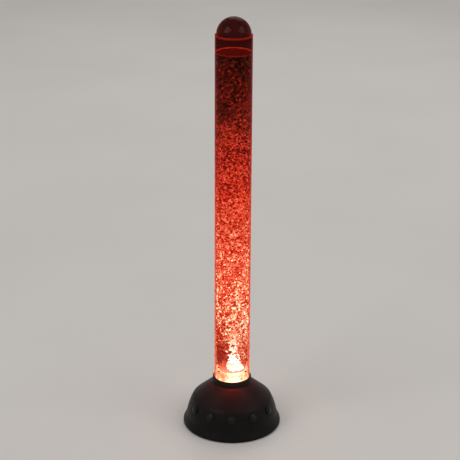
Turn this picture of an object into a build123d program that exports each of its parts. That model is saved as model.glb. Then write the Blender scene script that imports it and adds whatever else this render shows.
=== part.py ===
from build123d import *
import os
from math import asin, cos, degrees, hypot, radians, sin, sqrt

# LED bubble tube: a clear acrylic tube of aerated water on a round moulded base that holds the
# lamps, the air pump and the controls. Millimetres, Z up, origin on the floor under the axis,
# front at -Y, where the five buttons are.

# Tube, water and lid
tube_outer_radius = 50
tube_wall = 3
tube_length = 1032
tube_foot_height = 100
water_below_rim = 46
water_film_gap = 0.05
lid_dome_inset = 3.5
lid_dome_rise = 3.5
lid_wall = 2.2
lid_flange_thickness = 2.5
lid_flange_overhang = 0.4
lid_skirt_depth = 15
lid_skirt_gap = 0.4
lid_vent_width = 3
lid_vent_height = 1.2
lid_vent_count = 4
lid_vent_turn = 45

# Base housing, from the floor up
foot_height = 3
foot_radius = 11
housing_height = 126
housing_wall = 3
base_radius = 139
lip_height = 6
lip_edge_radius = 1.5
waist_inset = 9
waist_rise = 25
waist_bend_radius = 30
knee_inset = 27
knee_rise = 79.5
knee_bend_radius = 25
wall_bow_radius = 185
seat_margin = 2.4
seat_edge_radius = 2

# Collar round the tube
collar_height = 17
collar_wall = 4.3
collar_gap = 0.3
collar_edge_radius = 2.5
collar_spigot_wall = 2
spigot_gap = 0.2
seal_cord_radius = 1.45
seal_gap = 0.05
seal_groove_width = 4

# Socket that carries the tube, on four pillars
socket_gap = 0.15
socket_wall = 4.35
socket_floor = 6
socket_hole_inset = 4
pillar_radius = 5
pillar_inset = 8.5
pillar_count = 4
pillar_turn = 45

# Base plate, its feet and screws
plate_thickness = 3
plate_gap = 0.4
plate_screw_inset = 17
plate_screw_count = 6
plate_screw_turn = 0
plate_boss_radius = 5
plate_boss_height = 36
foot_inset = 23
foot_count = 6
foot_turn = 30
foot_peg_radius = 4
foot_peg_height = 6
vent_inset = 47
vent_count = 10
vent_length = 22
vent_width = 3

# Screws: M3 through the plate, the socket and the boards
screw_radius = 1.5
screw_head_radius = 3
screw_head_height = 1.7
screw_length = 12
screw_gap = 0.05
pan_head_height = 2

# Plug in the foot of the tube, and the diffuser on it
plug_gap = 0.2
plug_wall = 6.3
plug_height = 60
plug_groove_depth = 2.85
plug_groove_first = 12
plug_groove_pitch = 12
plug_groove_count = 2
gasket_thickness = 1
diffuser_thickness = 5
diffuser_screw_inset = 3.2
diffuser_screw_count = 3
diffuser_screw_turn = 212

# Air nozzle in the middle of the diffuser
nozzle_flange_radius = 16
nozzle_flange_height = 3
nozzle_crown_radius = 11
nozzle_crown_height = 5
nozzle_edge_radius = 1.5
nozzle_chamber_radius = 8
nozzle_chamber_height = 3.5
nozzle_stem_radius = 5
nozzle_stem_length = 18
nozzle_jet_radius = 0.8
nozzle_jet_circle_radius = 6
nozzle_jet_count = 8
nut_radius = 9
nut_thickness = 4
nut_side_count = 6

# Air line
hose_outer_radius = 3.2
hose_bore_radius = 2.05
barb_radius = 2
barb_bore_radius = 1.1
barb_length = 11
hose_bend_radius = 20
valve_radius = 8
valve_height = 22
valve_foot_height = 60
valve_edge_radius = 2
line_height = 26

# Lamp board and its heat sink
sink_gap = 2.5
sink_base_thickness = 4
sink_height = 16
sink_fin_thickness = 1.6
sink_fin_pitch = 6
sink_fin_count = 9
sink_boss_radius = 3.5
sink_hole_share = 0.625
lamp_board_inset = 1
board_thickness = 1.6
board_hole_share = 0.4
lamp_side = 5
lamp_height = 1.4
lamp_lens_radius = 1.8
lamp_lens_height = 0.5
lamp_inset = 10
lamp_count = 12
board_screw_spacing = 7
board_screw_count = 3
board_screw_turn = 60
board_screw_length = 22

# Push buttons, on the wall of the base
button_count = 5
button_spacing_angle = 30
button_height = 64
button_travel = 2.5
pad_radius = 14.5
pad_proud = 0.6
pad_depth = 5
bezel_radius = 13
bezel_thickness = 1.6
bezel_lip_thickness = 3
bezel_edge_radius = 0.8
bezel_lip_bore_radius = 9
bezel_barrel_radius = 11.7
bezel_barrel_bore_radius = 10.2
bezel_barrel_length = 12
bezel_floor = 2
bezel_gap = 0.2
plunger_radius = 8.7
plunger_skirt_radius = 9.8
plunger_skirt_height = 1.6
plunger_rise = 0.9
plunger_crown = 1.9
plunger_stem_radius = 3
stem_gap = 0.4
stem_reach = 3.5
ring_nut_radius = 14.5
ring_nut_thickness = 3.5
ring_nut_side_count = 8
switch_side = 15
switch_depth = 9
switch_bore_gap = 1
spring_outer_radius = 6.5
spring_wall = 0.8

# Cord grommet at the back
grommet_height = 45
grommet_pad_radius = 10
grommet_pad_inset = 9.5
grommet_pad_depth = 10.5
grommet_barrel_radius = 6
grommet_flange_radius = 8.5
grommet_flange_thickness = 1.8
grommet_bore_radius = 3.3

# Air pump, back and left of the axis
pump_length = 88
pump_width = 46
pump_height = 44
pump_wall = 2.5
pump_left_inset = 15
pump_pillar_gap = 4.473
pump_foot_height = 8
pump_foot_radius = 5
pump_corner_inset = 6
pump_boss_radius = 4
pump_cover_thickness = 3
pump_edge_radius = 3
pump_screw_length = 12
block_width = 28
block_depth = 11.5
block_height = 28
outlet_inset = 28
outlet_spigot_radius = 4
diaphragm_radius = 12
diaphragm_skin = 3
diaphragm_stud_radius = 4
diaphragm_depth = 8
arm_thickness = 2.3
arm_height = 14
arm_pivot_inset = 8
arm_eye_radius = 4
arm_eye_gap = 0.3
arm_length = 48
arm_rise = 11
pivot_radius = 1.5
pivot_gap = 0.05
pivot_boss_radius = 3.8
pivot_boss_depth = 10
magnet_length = 6
magnet_width = 10
magnet_height = 10
core_gap = 3
core_leg_length = 14
core_back = 5
core_thickness = 14
core_middle_leg = 6
core_outer_leg = 3
core_window = 5.2
coil_gap = 0.4
coil_wall = 4
coil_end_gap = 1

# Control board, right of the axis
control_length = 58
control_width = 58
control_edge_inset = 35
control_shift = 1
control_rise = 12
control_inset = 5
standoff_radius = 3.5
chip_length = 14
chip_width = 9
chip_height = 2.2
capacitor_radius = 5
capacitor_height = 14
choke_radius = 7
choke_height = 8
header_length = 14
header_width = 6
header_height = 8
header_pitch = 18
header_count = 3
header_line_share = 0.24
chip_spot_shares = [(0.5, 0.5), (0.5, 0.75)]
capacitor_spot_shares = [(0.8, 0.5), (0.8, 0.72)]
choke_spot_shares = [(0.2, 0.6)]

# Terminal block behind the control board
terminal_length = 28
terminal_width = 16
terminal_height = 14
terminal_pump_gap = 20
terminal_shift = 14
terminal_pole_radius = 2.6
terminal_pole_pitch = 9
terminal_pole_count = 3
terminal_pole_depth = 3

# Leads inside the base
lead_radius = 1.6
lead_bend_radius = 10
lead_spacing = 5
lead_gap = 0.3
lead_run_out = 20
chain_bend_radius = 8

cut_overrun = 1

# Levels and radii that follow from the sizes above
tube_bore_radius = tube_outer_radius - tube_wall
rim_height = tube_foot_height + tube_length
water_level = rim_height - water_below_rim
plate_top = foot_height + plate_thickness
waist_radius = base_radius - waist_inset
knee_radius = base_radius - knee_inset
plate_screw_circle_radius = base_radius - plate_screw_inset
foot_circle_radius = base_radius - foot_inset
vent_circle_radius = base_radius - vent_inset
grommet_pad_proud = base_radius - grommet_pad_inset
roof_height = foot_height + housing_height
roof_underside = roof_height - housing_wall
lip_top = foot_height + lip_height
waist_height = foot_height + waist_rise
knee_height = foot_height + knee_rise
socket_underside = tube_foot_height - socket_floor
socket_bore_radius = tube_outer_radius + socket_gap
socket_outer_radius = socket_bore_radius + socket_wall
pillar_circle_radius = socket_outer_radius - pillar_inset
collar_bore_radius = tube_outer_radius + collar_gap
collar_outer_radius = collar_bore_radius + collar_wall
seat_radius = collar_outer_radius + seat_margin
plug_radius = tube_bore_radius - plug_gap
plug_top = tube_foot_height + plug_height
diffuser_underside = plug_top + gasket_thickness
diffuser_top = diffuser_underside + diffuser_thickness
diffuser_screw_circle_radius = plug_radius - diffuser_screw_inset
nozzle_foot = diffuser_top + gasket_thickness
nozzle_top = nozzle_foot + nozzle_flange_height + nozzle_crown_height
nozzle_stem_end = nozzle_foot - nozzle_stem_length
sink_radius = plug_radius - plug_wall - sink_gap
lamp_board_radius = sink_radius - lamp_board_inset
lamp_circle_radius = lamp_board_radius - lamp_inset
board_screw_circle_radius = lamp_circle_radius - board_screw_spacing
sink_hole_radius = board_screw_circle_radius * sink_hole_share
board_hole_radius = board_screw_circle_radius * board_hole_share
socket_hole_radius = board_screw_circle_radius - socket_hole_inset
sink_top = tube_foot_height + sink_height
lamp_board_top = sink_top + board_thickness
valve_top = valve_foot_height + valve_height

pillar_reach = pillar_circle_radius * sin(radians(pillar_turn)) + pillar_radius
pump_front = pillar_reach + pump_pillar_gap
pump_left = tube_outer_radius + pump_left_inset - base_radius
pump_right = pump_left + pump_length
pump_middle_x = pump_left + pump_length / 2
pump_middle_y = pump_front + pump_width / 2
pump_foot_level = plate_top + pump_foot_height
pump_floor = pump_foot_level + pump_wall
pump_rim = pump_foot_level + pump_height
pump_top = pump_rim + pump_cover_thickness
outlet_x = pump_left + outlet_inset
block_back = pump_front + pump_wall + block_depth
arm_line_y = block_back + diaphragm_depth + arm_thickness / 2
arm_pivot_x = pump_left + arm_pivot_inset
arm_end_x = arm_pivot_x + arm_length
arm_foot = pump_foot_level + arm_rise
arm_top = arm_foot + arm_height
arm_middle = arm_foot + arm_height / 2
core_tip_x = arm_end_x + magnet_length + core_gap
core_back_x = core_tip_x + core_leg_length
core_foot = arm_middle - core_thickness / 2
core_window_y = (core_middle_leg + core_window) / 2
core_width = core_middle_leg + (core_window + core_outer_leg) * 2

control_left = base_radius - control_edge_inset - control_length
control_front = control_shift - control_width / 2
terminal_left = pump_right + terminal_pump_gap
terminal_front = pump_front + terminal_shift
control_level = plate_top + control_rise
control_top = control_level + board_thickness
header_top = control_top + header_height
lamp_lead_x = sink_hole_radius - lead_radius - lead_gap

bezel_face = pad_proud + bezel_thickness
bezel_end = pad_proud - bezel_barrel_length
skirt_stop = bezel_face - bezel_lip_thickness
plunger_top = bezel_face + plunger_rise + plunger_crown
stem_end = bezel_end - stem_reach
switch_bore_depth = stem_reach + button_travel + switch_bore_gap
spring_length = skirt_stop - plunger_skirt_height - bezel_end - bezel_floor

ON_TOP = (Align.CENTER, Align.CENTER, Align.MIN)
BELOW = (Align.CENTER, Align.CENTER, Align.MAX)
CORNER = (Align.MIN, Align.MIN, Align.MIN)

# The wall of the base is a shallow arc from waist to knee. Its centre gives the wall's radius and
# slope at any height, which place the buttons.
chord_r = waist_radius - knee_radius
chord_z = waist_height - knee_height
chord = hypot(chord_r, chord_z)
outward_r = -chord_z / chord
outward_z = chord_r / chord
centre_depth = sqrt(wall_bow_radius**2 - (chord / 2) ** 2)
bow_centre_r = (waist_radius + knee_radius) / 2 - outward_r * centre_depth
bow_centre_z = (waist_height + knee_height) / 2 - outward_z * centre_depth
bow_middle = (bow_centre_r + outward_r * wall_bow_radius, bow_centre_z + outward_z * wall_bow_radius)


def wall_radius_at(height):
    """Radius of the base's outer wall at a height between waist and knee."""
    return bow_centre_r + sqrt(wall_bow_radius**2 - (height - bow_centre_z) ** 2)


button_tilt = degrees(asin((button_height - bow_centre_z) / wall_bow_radius))
button_wall_radius = wall_radius_at(button_height)


def button_turn(number):
    """Angle of a button about the axis, in degrees."""
    return (number - (button_count + 1) / 2) * button_spacing_angle - 90


def button_plane(number):
    """Plane on the wall of the base at a button, its normal pointing out of the wall."""
    turn = radians(button_turn(number))
    tilt = radians(button_tilt)
    return Plane(
        origin=(button_wall_radius * cos(turn), button_wall_radius * sin(turn), button_height),
        x_dir=(-sin(turn), cos(turn), 0),
        z_dir=(cos(turn) * cos(tilt), sin(turn) * cos(tilt), sin(tilt)),
    )


button_planes = [button_plane(number) for number in range(1, button_count + 1)]

# The leads between the switches follow a circle through the middles of the switches
switch_middle = button_planes[0].offset(bezel_end - switch_depth / 2).origin
switch_circle_radius = hypot(switch_middle.X, switch_middle.Y)
switch_height = switch_middle.Z
lead_turn = degrees(asin((switch_side / 2 + lead_gap) / switch_circle_radius))
link_turn = button_spacing_angle - lead_turn * 2
chain_end_turn = radians(button_turn(button_count) + lead_turn)
switch_side_point = Vector(
    switch_circle_radius * cos(chain_end_turn), switch_circle_radius * sin(chain_end_turn), switch_height
)
switch_side_heading = Vector(-sin(chain_end_turn), cos(chain_end_turn), 0)

grommet_plane = Plane(origin=(0, grommet_pad_proud, grommet_height), x_dir=(-1, 0, 0), z_dir=(0, 1, 0))

os.makedirs("parts", exist_ok=True)


def plate_screw_places():
    """The ring of screws that hold the plate to the housing."""
    return PolarLocations(plate_screw_circle_radius, plate_screw_count, plate_screw_turn)


def foot_places():
    """The ring of feet."""
    return PolarLocations(foot_circle_radius, foot_count, foot_turn)


def pillar_places():
    """The square of pillars under the tube's socket."""
    return PolarLocations(pillar_circle_radius, pillar_count, pillar_turn)


def diffuser_screw_places():
    """The screws near the edge of the diffuser."""
    return PolarLocations(diffuser_screw_circle_radius, diffuser_screw_count, diffuser_screw_turn)


def board_screw_places():
    """The screws of the lamp board."""
    return PolarLocations(board_screw_circle_radius, board_screw_count, board_screw_turn)


def pump_corner_places():
    """The four corners of the pump, inset from its sides."""
    return Locations(
        *[
            (x, y)
            for x in (pump_left + pump_corner_inset, pump_right - pump_corner_inset)
            for y in (pump_front + pump_corner_inset, pump_front + pump_width - pump_corner_inset)
        ]
    )


def control_spots(spot_shares):
    """Places on the control board, from shares of its length and width."""
    return [
        (control_left + across * control_length, control_front + along * control_width)
        for across, along in spot_shares
    ]


header_spots = [
    (
        control_left + control_length / 2 + (number - (header_count - 1) / 2) * header_pitch,
        control_front + header_line_share * control_width,
    )
    for number in range(header_count)
]


def save(builder, name):
    """Labels a finished piece and writes it as one STEP file."""
    builder.part.label = name
    export_step(builder.part, f"parts/{name}.step")


# Outer form of the base, solid
with BuildPart() as housing_form:
    with BuildSketch(Plane.XZ):
        with BuildLine():
            foot_line = Polyline(
                (0, foot_height),
                (base_radius, foot_height),
                (base_radius, lip_top),
                (waist_radius, waist_height),
            )
            bow = ThreePointArc(foot_line @ 1, bow_middle, (knee_radius, knee_height))
            Polyline(bow @ 1, (seat_radius, roof_height), (0, roof_height), (0, foot_height))
        make_face()
        fillet(vertices().sort_by_distance((knee_radius, knee_height))[0], knee_bend_radius)
        fillet(vertices().sort_by_distance((waist_radius, waist_height))[0], waist_bend_radius)
        fillet(vertices().sort_by_distance((base_radius, lip_top))[0], lip_edge_radius)
        fillet(vertices().sort_by_distance((seat_radius, roof_height))[0], seat_edge_radius)
    revolve(axis=Axis.Z)

# Screw bosses that hang down inside the wall, trimmed to the outer form
with BuildPart() as plate_bosses:
    with Locations((0, 0, plate_top)):
        with plate_screw_places():
            Cylinder(plate_boss_radius, plate_boss_height, align=ON_TOP)
    add(housing_form.part, mode=Mode.INTERSECT)

# Base housing: one moulded shell, open below, with the tube's hole in its roof
with BuildPart() as base_housing:
    add(housing_form.part)
    offset(amount=-housing_wall, openings=faces().sort_by(Axis.Z)[0])
    add(plate_bosses.part)
    with Locations(*[plane.offset(pad_proud) for plane in button_planes]):
        Cylinder(pad_radius, pad_proud + pad_depth, align=BELOW)
    with Locations(grommet_plane):
        Cylinder(grommet_pad_radius, grommet_pad_depth, align=BELOW)
    with Locations((0, 0, roof_height)):
        Cylinder(
            tube_outer_radius + collar_gap + collar_spigot_wall + spigot_gap,
            housing_wall * 2,
            mode=Mode.SUBTRACT,
        )
    with Locations(*[plane.offset(pad_proud) for plane in button_planes]):
        Cylinder(bezel_barrel_radius + bezel_gap, (pad_proud + pad_depth) * 2, mode=Mode.SUBTRACT)
    with Locations(grommet_plane):
        Cylinder(grommet_barrel_radius, grommet_pad_depth * 2 + cut_overrun, mode=Mode.SUBTRACT)
    with Locations((0, 0, plate_top)):
        with plate_screw_places():
            Cylinder(screw_radius + screw_gap, screw_length * 2, mode=Mode.SUBTRACT)
save(base_housing, "base_housing")

# Base plate: closes the housing, carries the feet, pillars, pump and boards
control_posts = [
    (control_left + x, control_front + y)
    for x in (control_inset, control_length - control_inset)
    for y in (control_inset, control_width - control_inset)
]
with BuildPart() as base_plate:
    with Locations((0, 0, foot_height)):
        Cylinder(base_radius - housing_wall - plate_gap, plate_thickness, align=ON_TOP)
    with Locations((0, 0, plate_top)):
        with Locations(*control_posts):
            Cylinder(standoff_radius, control_rise, align=ON_TOP)
    with Locations((0, 0, plate_top + control_rise)):
        with Locations(*control_posts):
            Cylinder(screw_radius + screw_gap, control_rise * 2, mode=Mode.SUBTRACT)
    with Locations((0, 0, foot_height)):
        with foot_places():
            Cylinder(foot_peg_radius + screw_gap, plate_thickness * 2, mode=Mode.SUBTRACT)
    for places in (plate_screw_places, pillar_places):
        with Locations((0, 0, foot_height)):
            with places():
                Cylinder(screw_radius + screw_gap, plate_thickness * 2, mode=Mode.SUBTRACT)
                Cone(
                    screw_head_radius + screw_gap,
                    screw_radius + screw_gap,
                    screw_head_height,
                    align=ON_TOP,
                    mode=Mode.SUBTRACT,
                )
    with BuildSketch(Plane.XY.offset(foot_height)):
        with PolarLocations(vent_circle_radius, vent_count, 360 / vent_count / 2):
            SlotOverall(vent_length, vent_width, rotation=90)
    extrude(amount=plate_thickness, mode=Mode.SUBTRACT)
save(base_plate, "base_plate")

# Countersunk screws through the plate, into the housing's bosses and into the pillars
with BuildPart() as base_plate_screws:
    for places in (plate_screw_places, pillar_places):
        with Locations((0, 0, foot_height)):
            with places():
                Cylinder(screw_radius, screw_length, align=ON_TOP)
                Cone(screw_head_radius, screw_radius, screw_head_height, align=ON_TOP)
save(base_plate_screws, "base_plate_screws")

# Rubber feet, pegged through the plate
with BuildPart() as rubber_feet:
    with foot_places():
        Cylinder(foot_radius, foot_height, align=ON_TOP)
    with Locations((0, 0, foot_height)):
        with foot_places():
            Cylinder(foot_peg_radius, foot_peg_height, align=ON_TOP)
save(rubber_feet, "rubber_feet")

# Pillars between the plate and the tube's socket, drilled at both ends
pillar_height = socket_underside - plate_top
with BuildPart() as socket_pillars:
    with Locations((0, 0, plate_top)):
        with pillar_places():
            Cylinder(pillar_radius, pillar_height, align=ON_TOP)
            Cylinder(screw_radius + screw_gap, screw_length * 2, mode=Mode.SUBTRACT)
    with Locations((0, 0, socket_underside)):
        with pillar_places():
            Cylinder(screw_radius + screw_gap, screw_length * 2, mode=Mode.SUBTRACT)
save(socket_pillars, "socket_pillars")

# Tube socket: a deep cup under the roof, in which the tube stands
with BuildPart() as tube_socket:
    with BuildSketch(Plane.XZ):
        with BuildLine():
            Polyline(
                (socket_hole_radius, socket_underside),
                (socket_outer_radius, socket_underside),
                (socket_outer_radius, roof_underside),
                (socket_bore_radius, roof_underside),
                (socket_bore_radius, tube_foot_height),
                (socket_hole_radius, tube_foot_height),
                close=True,
            )
        make_face()
    revolve(axis=Axis.Z)
    with Locations((0, 0, tube_foot_height)):
        with pillar_places():
            Cylinder(screw_radius + screw_gap, socket_floor * 2, mode=Mode.SUBTRACT)
            Cone(
                screw_radius + screw_gap,
                screw_head_radius + screw_gap,
                screw_head_height,
                align=BELOW,
                mode=Mode.SUBTRACT,
            )
        with board_screw_places():
            Cylinder(screw_radius + screw_gap, socket_floor * 2, mode=Mode.SUBTRACT)
save(tube_socket, "tube_socket")

# Countersunk screws from the socket down into the pillars
with BuildPart() as socket_screws:
    with Locations((0, 0, tube_foot_height)):
        with pillar_places():
            Cylinder(screw_radius, screw_length, align=BELOW)
            Cone(screw_radius, screw_head_radius, screw_head_height, align=BELOW)
save(socket_screws, "socket_screws")

# Collar: a plain ring on the roof, with a spigot in the roof's hole and a groove for its seal
collar_top = roof_height + collar_height
collar_seal_height = roof_height + collar_height / 2
seal_ring_radius = tube_outer_radius + seal_gap + seal_cord_radius
with BuildPart() as collar:
    with BuildSketch(Plane.XZ):
        with BuildLine():
            Polyline(
                (collar_bore_radius, roof_underside),
                (collar_bore_radius + collar_spigot_wall, roof_underside),
                (collar_bore_radius + collar_spigot_wall, roof_height),
                (collar_outer_radius, roof_height),
                (collar_outer_radius, collar_top),
                (collar_bore_radius, collar_top),
                close=True,
            )
        make_face()
        fillet(vertices().sort_by_distance((collar_outer_radius, collar_top))[0], collar_edge_radius)
        with Locations((collar_bore_radius, collar_seal_height)):
            Rectangle(
                (seal_ring_radius + seal_cord_radius + seal_gap - collar_bore_radius) * 2,
                seal_groove_width,
                mode=Mode.SUBTRACT,
            )
    revolve(axis=Axis.Z)
save(collar, "collar")

# Sealing ring between collar and tube
with BuildPart() as collar_seal:
    with Locations((0, 0, collar_seal_height)):
        Torus(seal_ring_radius, seal_cord_radius)
save(collar_seal, "collar_seal")

# Acrylic tube
with BuildPart() as tube:
    with Locations((0, 0, tube_foot_height)):
        Cylinder(tube_outer_radius, tube_length, align=ON_TOP)
        Cylinder(tube_bore_radius, tube_length, align=ON_TOP, mode=Mode.SUBTRACT)
save(tube, "tube")

# Plug: a thick ring in the foot of the tube, with two seal grooves and blind screw holes
groove_heights = [
    tube_foot_height + plug_groove_first + number * plug_groove_pitch
    for number in range(plug_groove_count)
]
with BuildPart() as tube_plug:
    with BuildSketch(Plane.XZ):
        with Locations((plug_radius, tube_foot_height)):
            Rectangle(plug_wall, plug_height, align=(Align.MAX, Align.MIN))
        with Locations(*[(plug_radius, height) for height in groove_heights]):
            Rectangle(plug_groove_depth * 2, seal_groove_width, mode=Mode.SUBTRACT)
    revolve(axis=Axis.Z)
    with Locations((0, 0, plug_top)):
        with diffuser_screw_places():
            Cylinder(screw_radius + screw_gap, screw_length * 2, mode=Mode.SUBTRACT)
save(tube_plug, "tube_plug")

# Two sealing rings between plug and tube
with BuildPart() as plug_seals:
    with Locations(*[(0, 0, height) for height in groove_heights]):
        Torus(tube_bore_radius - seal_gap - seal_cord_radius, seal_cord_radius)
save(plug_seals, "plug_seals")

# Flat gasket between plug and diffuser
with BuildPart() as diffuser_gasket:
    with Locations((0, 0, plug_top)):
        Cylinder(plug_radius, gasket_thickness, align=ON_TOP)
        Cylinder(plug_radius - plug_wall, gasket_thickness, align=ON_TOP, mode=Mode.SUBTRACT)
        with diffuser_screw_places():
            Cylinder(screw_radius + screw_gap, gasket_thickness * 2, mode=Mode.SUBTRACT)
save(diffuser_gasket, "diffuser_gasket")

# Diffuser plate: the frosted floor of the water, drilled for the nozzle and three screws
with BuildPart() as diffuser_plate:
    with Locations((0, 0, diffuser_underside)):
        Cylinder(plug_radius, diffuser_thickness, align=ON_TOP)
        Cylinder(nozzle_stem_radius + screw_gap, diffuser_thickness * 2, mode=Mode.SUBTRACT)
        with diffuser_screw_places():
            Cylinder(screw_radius + screw_gap, diffuser_thickness * 2, mode=Mode.SUBTRACT)
save(diffuser_plate, "diffuser_plate")

# Pan head screws that hold the diffuser
with BuildPart() as diffuser_screws:
    with Locations((0, 0, diffuser_top)):
        with diffuser_screw_places():
            Cylinder(screw_head_radius, pan_head_height, align=ON_TOP)
            Cylinder(screw_radius, screw_length + diffuser_thickness, align=BELOW)
    fillet(edges().group_by(Axis.Z)[-1], pan_head_height / 3)
save(diffuser_screws, "diffuser_screws")

# Air nozzle: a low crown with a ring of jets over a small chamber, on a hollow stem with a barb
with BuildPart() as bubble_nozzle:
    with BuildSketch(Plane.XZ):
        with BuildLine():
            Polyline(
                (barb_bore_radius, nozzle_stem_end - barb_length),
                (barb_radius, nozzle_stem_end - barb_length),
                (barb_radius, nozzle_stem_end),
                (nozzle_stem_radius, nozzle_stem_end),
                (nozzle_stem_radius, nozzle_foot),
                (nozzle_flange_radius, nozzle_foot),
                (nozzle_flange_radius, nozzle_foot + nozzle_flange_height),
                (nozzle_crown_radius, nozzle_foot + nozzle_flange_height),
                (nozzle_crown_radius, nozzle_top),
                (0, nozzle_top),
                (0, nozzle_foot + nozzle_flange_height + nozzle_chamber_height),
                (nozzle_chamber_radius, nozzle_foot + nozzle_flange_height + nozzle_chamber_height),
                (nozzle_chamber_radius, nozzle_foot + nozzle_flange_height),
                (barb_bore_radius, nozzle_foot + nozzle_flange_height),
                close=True,
            )
        make_face()
        fillet(vertices().sort_by_distance((nozzle_crown_radius, nozzle_top))[0], nozzle_edge_radius)
    revolve(axis=Axis.Z)
    with Locations((0, 0, nozzle_top)):
        with PolarLocations(nozzle_jet_circle_radius, nozzle_jet_count):
            Cylinder(nozzle_jet_radius, nozzle_crown_height, mode=Mode.SUBTRACT)
save(bubble_nozzle, "bubble_nozzle")

# Gasket under the nozzle's flange
with BuildPart() as nozzle_gasket:
    with Locations((0, 0, diffuser_top)):
        Cylinder(nozzle_flange_radius, gasket_thickness, align=ON_TOP)
        Cylinder(nozzle_stem_radius + screw_gap, gasket_thickness * 2, mode=Mode.SUBTRACT)
save(nozzle_gasket, "nozzle_gasket")

# Nut that clamps the nozzle from below
with BuildPart() as nozzle_nut:
    with BuildSketch(Plane.XY.offset(diffuser_underside)):
        RegularPolygon(nut_radius, nut_side_count)
        Circle(nozzle_stem_radius + screw_gap, mode=Mode.SUBTRACT)
    extrude(amount=-nut_thickness)
save(nozzle_nut, "nozzle_nut")

# Water column, from the diffuser to the surface, moulded round the nozzle and the screw heads
with BuildPart() as water_column:
    with Locations((0, 0, diffuser_top)):
        Cylinder(tube_bore_radius - water_film_gap, water_level - diffuser_top, align=ON_TOP)
        Cylinder(
            nozzle_flange_radius + water_film_gap,
            nozzle_top - diffuser_top + water_film_gap,
            align=ON_TOP,
            mode=Mode.SUBTRACT,
        )
        with diffuser_screw_places():
            Cylinder(
                screw_head_radius + water_film_gap,
                pan_head_height + water_film_gap,
                align=ON_TOP,
                mode=Mode.SUBTRACT,
            )
save(water_column, "water_column")

# Lid: a clear dome on a flange that rests on the rim, with a vented skirt in the bore
lid_skirt_radius = tube_bore_radius - lid_skirt_gap
lid_dome_radius = tube_outer_radius - lid_dome_inset
lid_inner_radius = lid_dome_radius - lid_wall
lid_flange_radius = tube_outer_radius + lid_flange_overhang
lid_flange_top = rim_height + lid_flange_thickness
lid_spring = rim_height + lid_dome_rise
lid_top = lid_spring + lid_dome_radius
arc_middle = radians(45)
with BuildPart() as dome_lid:
    with BuildSketch(Plane.XZ):
        with BuildLine():
            rise = Polyline(
                (lid_inner_radius, lid_spring),
                (lid_inner_radius, rim_height - lid_skirt_depth),
                (lid_skirt_radius, rim_height - lid_skirt_depth),
                (lid_skirt_radius, rim_height),
                (lid_flange_radius, rim_height),
                (lid_flange_radius, lid_flange_top),
                (lid_dome_radius, lid_flange_top),
                (lid_dome_radius, lid_spring),
            )
            crown = ThreePointArc(
                rise @ 1,
                (lid_dome_radius * cos(arc_middle), lid_spring + lid_dome_radius * sin(arc_middle)),
                (0, lid_top),
            )
            Line(crown @ 1, (0, lid_top - lid_wall))
            ThreePointArc(
                (0, lid_top - lid_wall),
                (lid_inner_radius * cos(arc_middle), lid_spring + lid_inner_radius * sin(arc_middle)),
                rise @ 0,
            )
        make_face()
    revolve(axis=Axis.Z)
    with Locations((0, 0, rim_height)):
        with PolarLocations(lid_skirt_radius, lid_vent_count, lid_vent_turn):
            Box(
                lid_flange_radius - lid_inner_radius,
                lid_vent_width,
                lid_skirt_depth * 2,
                mode=Mode.SUBTRACT,
            )
    with Locations((0, 0, rim_height + lid_vent_height)):
        with PolarLocations(lid_skirt_radius, lid_vent_count, lid_vent_turn):
            Box(
                lid_flange_radius - lid_inner_radius,
                lid_vent_width + cut_overrun,
                lid_flange_thickness - lid_vent_height,
                align=ON_TOP,
            )
save(dome_lid, "dome_lid")

# Heat sink: a round plate on straight fins that stand on the socket's floor
with BuildPart() as heat_sink:
    with Locations((0, 0, sink_top)):
        Cylinder(sink_radius, sink_base_thickness, align=BELOW)
    with BuildSketch(Plane.XY.offset(tube_foot_height)):
        with GridLocations(0, sink_fin_pitch, 1, sink_fin_count):
            Rectangle(sink_radius * 2, sink_fin_thickness)
        with board_screw_places():
            Circle(sink_boss_radius)
        Circle(sink_radius, mode=Mode.INTERSECT)
    extrude(amount=sink_height - sink_base_thickness)
    with Locations((0, 0, sink_top)):
        Cylinder(sink_hole_radius, sink_height * 2, mode=Mode.SUBTRACT)
        with board_screw_places():
            Cylinder(screw_radius + screw_gap, sink_height * 2, mode=Mode.SUBTRACT)
save(heat_sink, "heat_sink")

# Lamp board, with a hole for the air line
with BuildPart() as lamp_board:
    with Locations((0, 0, sink_top)):
        Cylinder(lamp_board_radius, board_thickness, align=ON_TOP)
        Cylinder(board_hole_radius, board_thickness * 2, mode=Mode.SUBTRACT)
        with board_screw_places():
            Cylinder(screw_radius + screw_gap, board_thickness * 2, mode=Mode.SUBTRACT)
save(lamp_board, "lamp_board")

# Screws through board and sink into the socket's floor
with BuildPart() as lamp_board_screws:
    with Locations((0, 0, lamp_board_top)):
        with board_screw_places():
            Cylinder(screw_head_radius, pan_head_height, align=ON_TOP)
            Cylinder(screw_radius, board_screw_length, align=BELOW)
save(lamp_board_screws, "lamp_board_screws")

# Ring of square LED lamps, each with a round lens
with BuildPart() as led_lamps:
    with Locations((0, 0, lamp_board_top)):
        with PolarLocations(lamp_circle_radius, lamp_count, 360 / lamp_count / 2):
            Box(lamp_side, lamp_side, lamp_height, align=ON_TOP)
            Cylinder(lamp_lens_radius, lamp_height + lamp_lens_height, align=ON_TOP)
save(led_lamps, "led_lamps")

# Non-return valve under the lamps: keeps the water out of the pump
with BuildPart() as check_valve:
    with Locations((0, 0, valve_foot_height)):
        Cylinder(valve_radius, valve_height, align=ON_TOP)
        fillet(edges().filter_by(GeomType.CIRCLE), valve_edge_radius)
        Cylinder(barb_radius, barb_length, align=BELOW)
    with Locations((0, 0, valve_top)):
        Cylinder(barb_radius, barb_length, align=ON_TOP)
        Cylinder(barb_bore_radius, (valve_height + barb_length) * 2, mode=Mode.SUBTRACT)
save(check_valve, "check_valve")

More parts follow.
